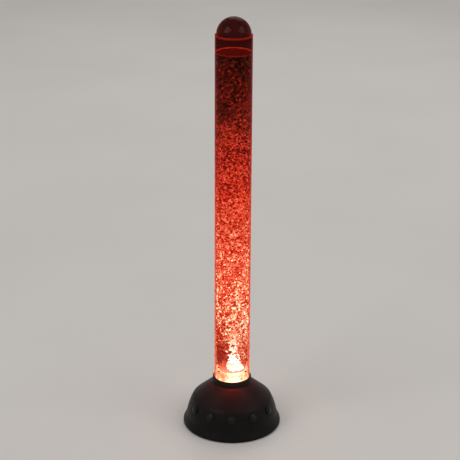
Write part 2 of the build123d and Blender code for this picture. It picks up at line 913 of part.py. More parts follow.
# Hose from the valve straight up to the nozzle
with BuildPart() as riser_hose:
    with Locations((0, 0, valve_top)):
        Cylinder(hose_outer_radius, nozzle_stem_end - valve_top, align=ON_TOP)
        Cylinder(hose_bore_radius, nozzle_stem_end - valve_top, align=ON_TOP, mode=Mode.SUBTRACT)
save(riser_hose, "riser_hose")

# Hose from the pump's outlet to the valve, with one bend down and one across
with BuildPart() as pump_hose:
    with BuildLine() as hose_route:
        FilletPolyline(
            (outlet_x, pump_front, line_height),
            (outlet_x, 0, line_height),
            (0, 0, line_height),
            (0, 0, valve_foot_height),
            radius=hose_bend_radius,
        )
    with BuildSketch(Plane(origin=hose_route.line @ 0, z_dir=hose_route.line % 0)):
        Circle(hose_outer_radius)
        Circle(hose_bore_radius, mode=Mode.SUBTRACT)
    sweep()
save(pump_hose, "pump_hose")

# Air pump case: an open box with corner bosses, a pivot boss and a saddle for the core
with BuildPart() as pump_case:
    with BuildSketch(Plane.XY.offset(pump_foot_level)):
        with Locations((pump_middle_x, pump_middle_y)):
            RectangleRounded(pump_length, pump_width, pump_edge_radius)
    extrude(amount=pump_height)
    with BuildSketch(Plane.XY.offset(pump_floor)):
        with Locations((pump_middle_x, pump_middle_y)):
            RectangleRounded(
                pump_length - pump_wall * 2, pump_width - pump_wall * 2, pump_edge_radius - pump_wall / 2
            )
    extrude(amount=pump_height, mode=Mode.SUBTRACT)
    with Locations((0, 0, pump_floor)):
        with pump_corner_places():
            Cylinder(pump_boss_radius, pump_height - pump_wall, align=ON_TOP)
    with Locations((arm_pivot_x, arm_line_y, pump_floor)):
        Cylinder(pivot_boss_radius, arm_foot - arm_eye_gap - pump_floor, align=ON_TOP)
        Cylinder(pivot_radius + pivot_gap, (arm_foot - pump_floor) * 2, align=ON_TOP, mode=Mode.SUBTRACT)
    with Locations((core_back_x, arm_line_y, pump_floor)):
        Box(core_back, core_width, core_foot - pump_floor, align=(Align.MIN, Align.CENTER, Align.MIN))
    with Locations(Plane(origin=(outlet_x, pump_front, line_height), z_dir=(0, 1, 0))):
        Cylinder(outlet_spigot_radius + pivot_gap, pump_wall * 2, mode=Mode.SUBTRACT)
    with Locations((0, 0, pump_rim)):
        with pump_corner_places():
            Cylinder(screw_radius + screw_gap, pump_screw_length * 2, mode=Mode.SUBTRACT)
save(pump_case, "pump_case")

# Pump cover, with the upper boss of the pivot under it
with BuildPart() as pump_cover:
    with BuildSketch(Plane.XY.offset(pump_rim)):
        with Locations((pump_middle_x, pump_middle_y)):
            RectangleRounded(pump_length, pump_width, pump_edge_radius)
    extrude(amount=pump_cover_thickness)
    with Locations((arm_pivot_x, arm_line_y, pump_rim)):
        Cylinder(pivot_boss_radius, pump_rim - arm_top - arm_eye_gap, align=BELOW)
    with Locations((arm_pivot_x, arm_line_y, arm_top)):
        Cylinder(pivot_radius + pivot_gap, pivot_boss_depth * 2, mode=Mode.SUBTRACT)
    with Locations((0, 0, pump_top)):
        with pump_corner_places():
            Cylinder(screw_radius + screw_gap, pump_cover_thickness * 2, mode=Mode.SUBTRACT)
            Cone(
                screw_radius + screw_gap,
                screw_head_radius + screw_gap,
                screw_head_height,
                align=BELOW,
                mode=Mode.SUBTRACT,
            )
save(pump_cover, "pump_cover")

# Countersunk screws of the pump's cover
with BuildPart() as pump_cover_screws:
    with Locations((0, 0, pump_top)):
        with pump_corner_places():
            Cylinder(screw_radius, pump_screw_length, align=BELOW)
            Cone(screw_radius, screw_head_radius, screw_head_height, align=BELOW)
save(pump_cover_screws, "pump_cover_screws")

# Rubber feet that keep the pump's hum off the plate
with BuildPart() as pump_feet:
    with Locations((0, 0, plate_top)):
        with pump_corner_places():
            Cylinder(pump_foot_radius, pump_foot_height, align=ON_TOP)
save(pump_feet, "pump_feet")

# Valve block inside the pump's front wall, with the outlet's spigot and barb
with BuildPart() as pump_valve_block:
    with Locations((outlet_x, pump_front + pump_wall, pump_floor)):
        Box(block_width, block_depth, block_height, align=(Align.CENTER, Align.MIN, Align.MIN))
    with Locations(Plane(origin=(outlet_x, pump_front + pump_wall, line_height), z_dir=(0, -1, 0))):
        Cylinder(outlet_spigot_radius, pump_wall, align=ON_TOP)
        Cylinder(barb_radius, pump_wall + barb_length, align=ON_TOP)
        Cylinder(barb_bore_radius, (pump_wall + barb_length) * 2, mode=Mode.SUBTRACT)
save(pump_valve_block, "pump_valve_block")

# Rubber diaphragm on the block, with a stud that reaches the arm
with BuildPart() as pump_diaphragm:
    with Locations(Plane(origin=(outlet_x, block_back, arm_middle), z_dir=(0, 1, 0))):
        Cylinder(diaphragm_radius, diaphragm_skin, align=ON_TOP)
        Cylinder(diaphragm_stud_radius, diaphragm_depth, align=ON_TOP)
save(pump_diaphragm, "pump_diaphragm")

# Swinging arm of the pump, with an eye on the pivot
with BuildPart() as pump_arm:
    with BuildSketch(Plane.XY.offset(arm_foot)):
        with Locations((arm_pivot_x, arm_line_y)):
            Circle(arm_eye_radius)
            Rectangle(arm_end_x - arm_pivot_x, arm_thickness, align=(Align.MIN, Align.CENTER))
            Circle(pivot_radius + pivot_gap, mode=Mode.SUBTRACT)
    extrude(amount=arm_height)
save(pump_arm, "pump_arm")

# Magnet on the free end of the arm
with BuildPart() as pump_magnet:
    with Locations((arm_end_x, arm_line_y, arm_middle)):
        Box(magnet_length, magnet_width, magnet_height, align=(Align.MIN, Align.CENTER, Align.CENTER))
save(pump_magnet, "pump_magnet")

# Pivot pin, held in the floor's boss and the cover's
with BuildPart() as pump_pivot_pin:
    with Locations((arm_pivot_x, arm_line_y, pump_floor)):
        Cylinder(pivot_radius, arm_top + pivot_boss_depth - pump_floor, align=ON_TOP)
save(pump_pivot_pin, "pump_pivot_pin")

# Laminated E core that pulls and pushes the magnet
with BuildPart() as pump_core:
    with BuildSketch(Plane.XY.offset(core_foot)):
        with Locations((core_tip_x, arm_line_y)):
            Rectangle(core_leg_length + core_back, core_width, align=(Align.MIN, Align.CENTER))
            with Locations((0, core_window_y), (0, -core_window_y)):
                Rectangle(
                    core_leg_length, core_window, align=(Align.MIN, Align.CENTER), mode=Mode.SUBTRACT
                )
    extrude(amount=core_thickness)
save(pump_core, "pump_core")

# Coil round the core's middle leg
with BuildPart() as pump_coil:
    with Locations((core_tip_x + coil_end_gap, arm_line_y, core_foot + core_thickness / 2)):
        Box(
            core_leg_length - coil_end_gap * 2,
            core_middle_leg + (coil_gap + coil_wall) * 2,
            core_thickness + (coil_gap + coil_wall) * 2,
            align=(Align.MIN, Align.CENTER, Align.CENTER),
        )
        fillet(edges().filter_by(Axis.X), coil_wall / 2)
        Box(
            core_leg_length,
            core_middle_leg + coil_gap * 2,
            core_thickness + coil_gap * 2,
            align=(Align.MIN, Align.CENTER, Align.CENTER),
            mode=Mode.SUBTRACT,
        )
save(pump_coil, "pump_coil")

# Control board on its four posts
with BuildPart() as control_board:
    with Locations((control_left, control_front, control_level)):
        Box(control_length, control_width, board_thickness, align=CORNER)
    with Locations((0, 0, control_level)):
        with Locations(*control_posts):
            Cylinder(screw_radius + screw_gap, board_thickness * 2, mode=Mode.SUBTRACT)
save(control_board, "control_board")

# Pan head screws of the control board
with BuildPart() as control_board_screws:
    with Locations((0, 0, control_top)):
        with Locations(*control_posts):
            Cylinder(screw_head_radius, pan_head_height, align=ON_TOP)
            Cylinder(screw_radius, screw_length, align=BELOW)
save(control_board_screws, "control_board_screws")

# Parts soldered to the board: chips, capacitors, a choke and the plug headers
with BuildPart() as control_parts:
    with Locations((0, 0, control_top)):
        with Locations(*control_spots(chip_spot_shares)):
            Box(chip_length, chip_width, chip_height, align=ON_TOP)
        with Locations(*control_spots(capacitor_spot_shares)):
            Cylinder(capacitor_radius, capacitor_height, align=ON_TOP)
        with Locations(*control_spots(choke_spot_shares)):
            Cylinder(choke_radius, choke_height, align=ON_TOP)
        with Locations(*header_spots):
            Box(header_length, header_width, header_height, align=ON_TOP)
save(control_parts, "control_parts")

# Terminal block for the supply, with a well over each clamp screw
terminal_well_places = [
    (
        terminal_left
        + terminal_length / 2
        + (number - (terminal_pole_count - 1) / 2) * terminal_pole_pitch,
        terminal_front + terminal_width / 2,
    )
    for number in range(terminal_pole_count)
]
with BuildPart() as terminal_block:
    with Locations((terminal_left, terminal_front, plate_top)):
        Box(terminal_length, terminal_width, terminal_height, align=CORNER)
    with Locations((0, 0, plate_top + terminal_height)):
        with Locations(*terminal_well_places):
            Cylinder(terminal_pole_radius, terminal_pole_depth, align=BELOW, mode=Mode.SUBTRACT)
save(terminal_block, "terminal_block")

# Clamp screws at the bottom of the wells
with BuildPart() as terminal_screws:
    with Locations((0, 0, plate_top + terminal_height - terminal_pole_depth)):
        with Locations(*terminal_well_places):
            Cylinder(terminal_pole_radius - screw_gap, terminal_pole_depth / 2, align=ON_TOP)
save(terminal_screws, "terminal_screws")

# Rubber grommet in the wall at the back, where the supply cord would enter
with BuildPart() as cord_grommet:
    with Locations(grommet_plane):
        Cylinder(grommet_flange_radius, grommet_flange_thickness, align=ON_TOP)
        fillet(edges().group_by(Axis.Y)[-1], grommet_flange_thickness / 3)
        Cylinder(grommet_barrel_radius - screw_gap, grommet_pad_depth, align=BELOW)
    with Locations(grommet_plane.offset(-grommet_pad_depth)):
        Cylinder(grommet_flange_radius, grommet_flange_thickness, align=BELOW)
    with Locations(grommet_plane):
        Cylinder(
            grommet_bore_radius, (grommet_pad_depth + grommet_flange_thickness * 2) * 2, mode=Mode.SUBTRACT
        )
save(cord_grommet, "cord_grommet")

# One bezel on the axis: flange, threaded barrel, a lip at the front and a floor at the back
with BuildPart() as bezel_form:
    with BuildSketch(Plane.XZ):
        with BuildLine():
            Polyline(
                (bezel_lip_bore_radius, bezel_face),
                (bezel_radius, bezel_face),
                (bezel_radius, pad_proud),
                (bezel_barrel_radius, pad_proud),
                (bezel_barrel_radius, bezel_end),
                (plunger_stem_radius + stem_gap, bezel_end),
                (plunger_stem_radius + stem_gap, bezel_end + bezel_floor),
                (bezel_barrel_bore_radius, bezel_end + bezel_floor),
                (bezel_barrel_bore_radius, skirt_stop),
                (bezel_lip_bore_radius, skirt_stop),
                close=True,
            )
        make_face()
        fillet(vertices().sort_by_distance((bezel_radius, bezel_face))[0], bezel_edge_radius)
    revolve(axis=Axis.Z)

with BuildPart() as button_bezels:
    with Locations(*button_planes):
        add(bezel_form.part)
save(button_bezels, "button_bezels")

# One plunger on the axis: domed cap, skirt behind the bezel's lip, and a stem
with BuildPart() as plunger_form:
    with BuildSketch(Plane.XZ):
        with BuildLine():
            side = Polyline(
                (0, stem_end),
                (plunger_stem_radius, stem_end),
                (plunger_stem_radius, skirt_stop - plunger_skirt_height),
                (plunger_skirt_radius, skirt_stop - plunger_skirt_height),
                (plunger_skirt_radius, skirt_stop),
                (plunger_radius, skirt_stop),
                (plunger_radius, bezel_face + plunger_rise),
            )
            dome = TangentArc((0, plunger_top), side @ 1, tangent=(1, 0))
            Line(dome @ 0, side @ 0)
        make_face()
    revolve(axis=Axis.Z)

for number, plane in enumerate(button_planes, start=1):
    with BuildPart() as button:
        with Locations(plane):
            add(plunger_form.part)
    save(button, f"button_{number}")

# Return spring of each button, between the plunger's skirt and the bezel's floor
for number, plane in enumerate(button_planes, start=1):
    with BuildPart() as button_spring:
        with Locations(plane.offset(bezel_end + bezel_floor)):
            Cylinder(spring_outer_radius, spring_length, align=ON_TOP)
            Cylinder(spring_outer_radius - spring_wall, spring_length, align=ON_TOP, mode=Mode.SUBTRACT)
    save(button_spring, f"button_spring_{number}")

# Nuts that clamp the bezels from inside the wall
with BuildPart() as button_nuts:
    for plane in button_planes:
        with BuildSketch(plane.offset(-pad_depth)):
            RegularPolygon(ring_nut_radius, ring_nut_side_count)
            Circle(bezel_barrel_radius + screw_gap, mode=Mode.SUBTRACT)
        extrude(amount=-ring_nut_thickness)
save(button_nuts, "button_nuts")

# Switches on the ends of the bezels, each with a well for the plunger's stem
with BuildPart() as button_switches:
    with Locations(*[plane.offset(bezel_end) for plane in button_planes]):
        Box(switch_side, switch_side, switch_depth, align=BELOW)
        Cylinder(plunger_stem_radius + stem_gap, switch_bore_depth, align=BELOW, mode=Mode.SUBTRACT)
save(button_switches, "button_switches")

# Leads: two from the pump to the terminals, one from the lamps to the control board, and a chain
# of short ones from switch to switch that ends on the control board
pump_lead_line = terminal_front + terminal_width / 2
pump_lead_level = pump_floor + lead_radius
with BuildPart() as pump_leads:
    for side in (-lead_spacing / 2, lead_spacing / 2):
        with Locations(Plane(origin=(pump_right, pump_lead_line + side, pump_lead_level), z_dir=(1, 0, 0))):
            Cylinder(lead_radius, terminal_left - pump_right, align=ON_TOP)
save(pump_leads, "pump_leads")

with BuildPart() as lamp_lead:
    with BuildLine() as lamp_route:
        FilletPolyline(
            (lamp_lead_x, 0, sink_top),
            (lamp_lead_x, 0, valve_foot_height),
            (*header_spots[0], valve_foot_height),
            (*header_spots[0], header_top),
            radius=lead_bend_radius,
        )
    with BuildSketch(Plane(origin=lamp_route.line @ 0, z_dir=lamp_route.line % 0)):
        Circle(lead_radius)
    sweep()
save(lamp_lead, "lamp_lead")

with BuildPart() as button_leads:
    for number in range(button_count - 1):
        with BuildLine(Plane.XY.offset(switch_height)):
            link = CenterArc((0, 0), switch_circle_radius, button_turn(number + 1) + lead_turn, link_turn)
        with BuildSketch(Plane(origin=link @ 0, z_dir=link % 0)):
            Circle(lead_radius)
        sweep(path=link)
    with BuildLine():
        last_link = FilletPolyline(
            switch_side_point,
            switch_side_point + switch_side_heading * lead_run_out,
            (*header_spots[-1], switch_height),
            (*header_spots[-1], header_top),
            radius=chain_bend_radius,
        )
    with BuildSketch(Plane(origin=last_link @ 0, z_dir=last_link % 0)):
        Circle(lead_radius)
    sweep(path=last_link)
save(button_leads, "button_leads")
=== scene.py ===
"""Looks of the LED bubble tube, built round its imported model.

Metres, Z up, front at -Y. The lamp is lit: red lamps under the tube light a dense cloud of air
bubbles in the water, white-hot over the air nozzle and a dark red at the surface.
"""

import sys

import logging
import math
import random
from dataclasses import dataclass, field
from enum import Enum

import bmesh
import bpy
from mathutils import Euler, Matrix, Vector, noise


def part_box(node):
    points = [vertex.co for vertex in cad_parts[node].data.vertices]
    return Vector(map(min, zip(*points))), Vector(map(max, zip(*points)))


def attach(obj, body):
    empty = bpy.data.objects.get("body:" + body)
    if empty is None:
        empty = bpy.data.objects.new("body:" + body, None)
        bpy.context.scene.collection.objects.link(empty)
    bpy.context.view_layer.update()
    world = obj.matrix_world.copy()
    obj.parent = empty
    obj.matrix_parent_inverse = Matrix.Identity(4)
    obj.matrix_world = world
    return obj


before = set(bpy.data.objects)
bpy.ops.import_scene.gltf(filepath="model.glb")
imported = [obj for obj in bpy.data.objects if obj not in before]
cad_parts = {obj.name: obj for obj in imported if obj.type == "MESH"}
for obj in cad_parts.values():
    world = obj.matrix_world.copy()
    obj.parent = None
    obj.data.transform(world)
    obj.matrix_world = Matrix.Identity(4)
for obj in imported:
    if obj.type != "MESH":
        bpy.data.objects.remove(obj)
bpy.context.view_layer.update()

MM = 0.001
TUBE_WALL = 3 * MM
log = logging.getLogger("bubble_tube")

Colour = tuple[float, float, float, float]
Socket = bpy.types.NodeSocket
Source = bpy.types.NodeSocket | bpy.types.Node
Tree = bpy.types.NodeTree
# Colours, or shares from 0 to 1, by height over the floor in metres
HeightStops = tuple[tuple[float, str | float], ...]


class Body(Enum):
    """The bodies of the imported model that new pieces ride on."""

    BASE = "base"


class Slot(Enum):
    """The record's material slots for the finishes of new pieces. None is used here."""

    LIT_WATER = "lit_water"


class Tone(Enum):
    """How bright a fleck of the lit water is."""

    DARK = "dark"
    EVEN = "even"
    BRIGHT = "bright"


def linear(code: str) -> Colour:
    """Turns an sRGB hex value into a linear colour.

    Args:
        code: The colour as #RRGGBB.

    Returns:
        Linear red, green, blue and an alpha of 1.
    """
    parts = [int(code[place : place + 2], 16) / 255 for place in (1, 3, 5)]
    return (*[p / 12.92 if p <= 0.04045 else ((p + 0.055) / 1.055) ** 2.4 for p in parts], 1.0)


def add_node(tree: Tree, kind: str, inputs: dict | None = None, **settings: object) -> bpy.types.Node:
    """Adds a node with its settings, and fills or links its inputs.

    Args:
        tree: The node tree that gets the node.
        kind: The node's type without its ShaderNode or CompositorNode prefix.
        inputs: Values, output sockets or nodes by input name or number. A node gives its first output.
        **settings: Properties of the node. stops fills a colour ramp with (place, colour) pairs.

    Returns:
        The new node.
    """
    prefix = "CompositorNode" if tree.type == "COMPOSITING" else "ShaderNode"
    node = tree.nodes.new(prefix + kind)
    stops = settings.pop("stops", None)
    for name, value in settings.items():
        setattr(node, name, value)
    if stops:
        elements = node.color_ramp.elements
        while len(elements) < len(stops):
            elements.new(1.0)
        for element, (place, colour) in zip(elements, stops):
            element.position = place
            element.color = colour
    for name, value in (inputs or {}).items():
        if isinstance(value, bpy.types.Node):
            value = value.outputs[0]
        if isinstance(value, Socket):
            tree.links.new(value, node.inputs[name])
        else:
            node.inputs[name].default_value = value
    return node


def height_at(tree: Tree) -> Socket:
    """Gives the height over the floor at each point of the surface."""
    place = add_node(tree, "TexCoord").outputs["Object"]
    return add_node(tree, "SeparateXYZ", {"Vector": place}).outputs["Z"]


def by_height(tree: Tree, height: Socket, stops: HeightStops) -> Socket:
    """Gives a colour that changes with height.

    Args:
        tree: The material's node tree.
        height: Height over the floor.
        stops: The colours, or shares, at some heights, from low to high.

    Returns:
        The colour at that height.
    """
    low, high = stops[0][0], stops[-1][0]
    share = add_node(tree, "MapRange", span(height, low, high))
    places = [
        ((at - low) / (high - low), linear(value) if isinstance(value, str) else (value,) * 3 + (1.0,))
        for at, value in stops
    ]
    return add_node(tree, "ValToRGB", {"Fac": share.outputs["Result"]}, stops=places).outputs["Color"]


def span(value: Source, low: float, high: float, start: float = 0.0, end: float = 1.0) -> dict:
    """Gives the inputs of a MapRange node.

    Args:
        value: The value that is mapped, or the node that gives it.
        low: Where it starts to count.
        high: Where it counts fully.
        start: The result at low.
        end: The result at high.

    Returns:
        The node's inputs by name.
    """
    return {"Value": value, "From Min": low, "From Max": high, "To Min": start, "To Max": end}


def relief(
    tree: Tree, place: Socket, size: float, depth: float, strength: float = 0.5, detail: float = 2.0
) -> Socket:
    """Gives the normals of a skin with random bumps.

    Args:
        tree: The material's node tree.
        place: Object coordinates.
        size: Size of the bumps.
        depth: Their depth.
        strength: Share of the depth that shows.
        detail: How much finer the finest bumps are, in octaves.

    Returns:
        The bumped normal.
    """
    bumps = add_node(tree, "TexNoise", {"Vector": place, "Scale": 1 / size, "Detail": detail})
    inputs = {"Height": bumps, "Strength": strength, "Distance": depth}
    return add_node(tree, "Bump", inputs).outputs["Normal"]


@dataclass(frozen=True)
class Finish:
    """A finish, which makes its Blender material once and then hands out the same one."""

    name: str

    def material(self) -> bpy.types.Material:
        """Makes or finds the material.

        Returns:
            The material, with its nodes.
        """
        made = bpy.data.materials.get(self.name)
        if made is None:
            made = bpy.data.materials.new(self.name)
            made.use_nodes = True
            made.node_tree.nodes.clear()
            surface = self.surface(made.node_tree)
            add_node(made.node_tree, "OutputMaterial", {"Surface": surface})
        return made

    def surface(self, tree: Tree) -> Socket:
        """Builds the shader and returns its output socket."""
        raise NotImplementedError


@dataclass(frozen=True)
class Moulded(Finish):
    """Moulded plastic or rubber: an even colour with faint flow clouds over a spark-eroded grain.

    The grain breaks up the highlight, so the surface reads as satin and not as lacquer.
    """

    shade: str
    worn_shade: str
    roughness: float = 0.45
    grain: float = 1.2 * MM
    grain_depth: float = 0.05 * MM
    cloud: float = 45 * MM
    ior: float = 1.54
    specular: float = 0.5

    def surface(self, tree: Tree) -> Socket:
        """Builds the plastic's shader and returns its output socket."""
        place = add_node(tree, "TexCoord").outputs["Object"]
        clouds = add_node(tree, "TexNoise", {"Vector": place, "Scale": 1 / self.cloud, "Detail": 3.0})
        shade = add_node(
            tree,
            "ValToRGB",
            {"Fac": clouds},
            stops=[(0.35, linear(self.shade)), (0.72, linear(self.worn_shade))],
        )
        low, high = self.roughness - 0.05, self.roughness + 0.06
        roughness = add_node(tree, "MapRange", span(clouds, 0.3, 0.7, low, high))
        shader = add_node(
            tree,
            "BsdfPrincipled",
            {
                "Base Color": shade,
                "Roughness": roughness,
                "IOR": self.ior,
                "Specular IOR Level": self.specular,
                "Normal": relief(tree, place, self.grain, self.grain_depth, strength=0.6),
            },
        )
        return shader.outputs["BSDF"]


@dataclass(frozen=True)
class Metal(Finish):
    """Metal with the fine marks of how it was made, drawn out along one axis."""

    shade: str
    roughness: float = 0.3
    mark: float = 0.8 * MM
    mark_depth: float = 0.02 * MM
    drawn: tuple[float, float, float] = (1.0, 1.0, 1.0)

    def surface(self, tree: Tree) -> Socket:
        """Builds the metal's shader and returns its output socket."""
        place = add_node(tree, "TexCoord").outputs["Object"]
        along = add_node(tree, "Mapping", {"Vector": place, "Scale": self.drawn})
        marks = add_node(tree, "TexNoise", {"Vector": along, "Scale": 1 / self.mark, "Detail": 4.0})
        low, high = self.roughness - 0.08, self.roughness + 0.1
        roughness = add_node(tree, "MapRange", span(marks, 0.3, 0.7, low, high))
        bump = add_node(tree, "Bump", {"Height": marks, "Strength": 0.5, "Distance": self.mark_depth})
        shader = add_node(
            tree,
            "BsdfPrincipled",
            {"Base Color": linear(self.shade), "Metallic": 1.0, "Roughness": roughness, "Normal": bump},
        )
        return shader.outputs["BSDF"]


@dataclass(frozen=True)
class Board(Finish):
    """Circuit board: solder mask over copper tracks, which show as paler lines on a fixed pitch."""

    mask: str
    track: str
    pitch: float = 5 * MM
    track_depth: float = 0.04 * MM

    def surface(self, tree: Tree) -> Socket:
        """Builds the board's shader and returns its output socket."""
        place = add_node(tree, "TexCoord").outputs["Object"]
        tracks = add_node(
            tree,
            "TexBrick",
            {
                "Vector": place,
                "Scale": 1 / self.pitch,
                "Color1": linear(self.mask),
                "Color2": linear(self.mask),
                "Mortar": linear(self.track),
                "Mortar Size": 0.04,
                "Brick Width": 2.5,
                "Row Height": 0.5,
            },
        )
        bump = add_node(
            tree,
            "Bump",
            {"Height": tracks.outputs["Fac"], "Strength": 0.4, "Distance": self.track_depth},
        )
        shader = add_node(
            tree,
            "BsdfPrincipled",
            {"Base Color": tracks, "Roughness": 0.35, "IOR": 1.55, "Normal": bump},
        )
        return shader.outputs["BSDF"]


@dataclass(frozen=True)
class Wound(Finish):
    """Layered or wound metal: the edges of laminations, or turns of wire, at their real pitch.

    At a scale of wave_scale a wave texture's bands lie one metre apart.
    """

    shade: str
    gap_shade: str
    pitch: float
    direction: str = "Z"
    groove: float = 0.2 * MM
    wave_scale: float = 0.314

    def surface(self, tree: Tree) -> Socket:
        """Builds the layered shader and returns its output socket."""
        place = add_node(tree, "TexCoord").outputs["Object"]
        layers = add_node(
            tree,
            "TexWave",
            {"Vector": place, "Scale": self.wave_scale / self.pitch, "Distortion": 0.4, "Detail": 1.0},
            bands_direction=self.direction,
        )
        shade = add_node(
            tree,
            "ValToRGB",
            {"Fac": layers.outputs["Fac"]},
            stops=[(0.1, linear(self.gap_shade)), (0.45, linear(self.shade))],
        )
        bump = add_node(
            tree, "Bump", {"Height": layers.outputs["Fac"], "Strength": 0.8, "Distance": self.groove}
        )
        shader = add_node(
            tree,
            "BsdfPrincipled",
            {"Base Color": shade, "Metallic": 1.0, "Roughness": 0.38, "Normal": bump},
        )
        return shader.outputs["BSDF"]


@dataclass(frozen=True)
class ClearPlastic(Finish):
    """Clear cast acrylic or still water that carries red light from the lamps below.

    What is behind it shows through its tint, and the front faces mirror the room by Fresnel's law.
    Light runs up inside the wall and leaves it at a flat angle, so the outline glows more than
    what faces the eye.
    """

    tint: HeightStops
    glow: HeightStops
    outline_glow: HeightStops
    outline_tint: HeightStops
    outline_start: float = 0.66
    outline_end: float = 0.86
    outline_fleck: float = 0.0
    roughness: float = 0.03
    ior: float = 1.49
    mirror: float = 1.0
    ripple: float = 14 * MM
    ripple_depth: float = 0.03 * MM

    def surface(self, tree: Tree) -> Socket:
        """Builds the see-through shader and returns its output socket."""
        place = add_node(tree, "TexCoord").outputs["Object"]
        height = height_at(tree)
        rippled = relief(tree, place, self.ripple, self.ripple_depth)
        back = add_node(tree, "NewGeometry").outputs["Backfacing"]
        front = add_node(tree, "Math", {0: 1.0, 1: back}, operation="SUBTRACT").outputs["Value"]
        fresnel = add_node(tree, "Fresnel", {"IOR": self.ior, "Normal": rippled})
        mirrored = add_node(tree, "Math", {0: fresnel, 1: front}, operation="MULTIPLY")
        gloss_share = add_node(tree, "Math", {0: mirrored, 1: self.mirror}, operation="MULTIPLY")
        facing = add_node(tree, "LayerWeight", {"Blend": 0.5}).outputs["Facing"]
        edges = span(facing, self.outline_start, self.outline_end)
        flat = add_node(tree, "MapRange", edges).outputs["Result"]
        outline = add_node(tree, "Math", {0: flat, 1: front}, operation="MULTIPLY").outputs["Value"]
        edge_glow = by_height(tree, height, self.outline_glow)
        if self.outline_fleck:
            edge_glow = self.flecked(tree, place, edge_glow)
        tint, glow = (
            add_node(tree, "Mix", {0: outline, 6: face, 7: edge}, data_type="RGBA").outputs[2]
            for face, edge in (
                (by_height(tree, height, self.tint), by_height(tree, height, self.outline_tint)),
                (by_height(tree, height, self.glow), edge_glow),
            )
        )
        clear = add_node(tree, "BsdfTransparent", {"Color": tint})
        light = add_node(tree, "Emission", {"Color": glow})
        lit = add_node(tree, "AddShader", {0: clear, 1: light})
        gloss = add_node(tree, "BsdfGlossy", {"Roughness": self.roughness, "Normal": rippled})
        mixed = add_node(tree, "MixShader", {0: gloss_share, 1: lit, 2: gloss})
        return mixed.outputs["Shader"]

    def flecked(self, tree: Tree, place: Socket, hue: Socket) -> Socket:
        """Breaks a glow up into flecks, as the wall is a lens that shows the bubbles behind it.

        Args:
            tree: The material's node tree.
            place: Object coordinates.
            hue: The glow's colour.

        Returns:
            The colour with flecks.
        """
        flecks = add_node(
            tree,
            "TexNoise",
            {"Vector": place, "Scale": 1 / self.outline_fleck, "Detail": 2.0, "Distortion": 1.0},
        ).outputs["Fac"]
        share = add_node(tree, "MapRange", span(flecks, 0.4, 0.62, 0.45, 1.35))
        scaled = add_node(tree, "VectorMath", {0: hue, "Scale": share}, operation="SCALE")
        return scaled.outputs["Vector"]


@dataclass(frozen=True)
class WaterLight:
    """The light in the water by height: white-hot over the nozzle, dark red at the surface.

    Each fleck of the water is dark, even or bright. Low down the bright ones are brighter than a
    picture can show.
    """

    dark: HeightStops = (
        (0.166, "#780E06"),
        (0.24, "#740C04"),
        (0.30, "#9C0E04"),
        (0.42, "#D8240C"),
        (0.52, "#C01C0A"),
        (0.60, "#9C1206"),
        (0.70, "#860E05"),
        (0.80, "#560702"),
        (0.92, "#1C0200"),
        (1.086, "#040000"),
    )
    even: HeightStops = (
        (0.166, "#B42C14"),
        (0.22, "#A82610"),
        (0.28, "#E44C26"),
        (0.36, "#F26A40"),
        (0.44, "#F6744E"),
        (0.54, "#F45A3A"),
        (0.68, "#DE3A22"),
        (0.80, "#A81E0E"),
        (0.92, "#4A0A04"),
        (1.02, "#1C0100"),
        (1.086, "#080000"),
    )
    bright: HeightStops = (
        (0.166, "#DC7444"),
        (0.21, "#E07A48"),
        (0.28, "#FFE4BC"),
        (0.42, "#FFE0B6"),
        (0.54, "#FFB88E"),
        (0.68, "#FF7450"),
        (0.80, "#EC5238"),
        (0.92, "#A42C1C"),
        (1.02, "#8A1A0C"),
        (1.086, "#54100A"),
    )
    foot: float = 0.166
    calm: float = 0.66
    foot_heat: float = 2.2

    def colour_at(self, tone: Tone, height: float) -> Colour:
        """Gives the light of a fleck.

        Args:
            tone: How bright the fleck is.
            height: Height over the floor in metres.

        Returns:
            Linear colour of the light.
        """
        stops: HeightStops = getattr(self, tone.value)
        height = min(max(height, stops[0][0]), stops[-1][0])
        for (low, start), (high, end) in zip(stops, stops[1:]):
            if height <= high:
                part = (height - low) / (high - low)
                pairs = zip(linear(start)[:3], linear(end)[:3])
                mixed = [a + (b - a) * part for a, b in pairs]
                break
        if tone is Tone.BRIGHT:
            rise = min(max((height - self.foot) / (self.calm - self.foot), 0.0), 1.0)
            mixed = [part * (self.foot_heat + (1.0 - self.foot_heat) * rise) for part in mixed]
        return (*mixed, 1.0)


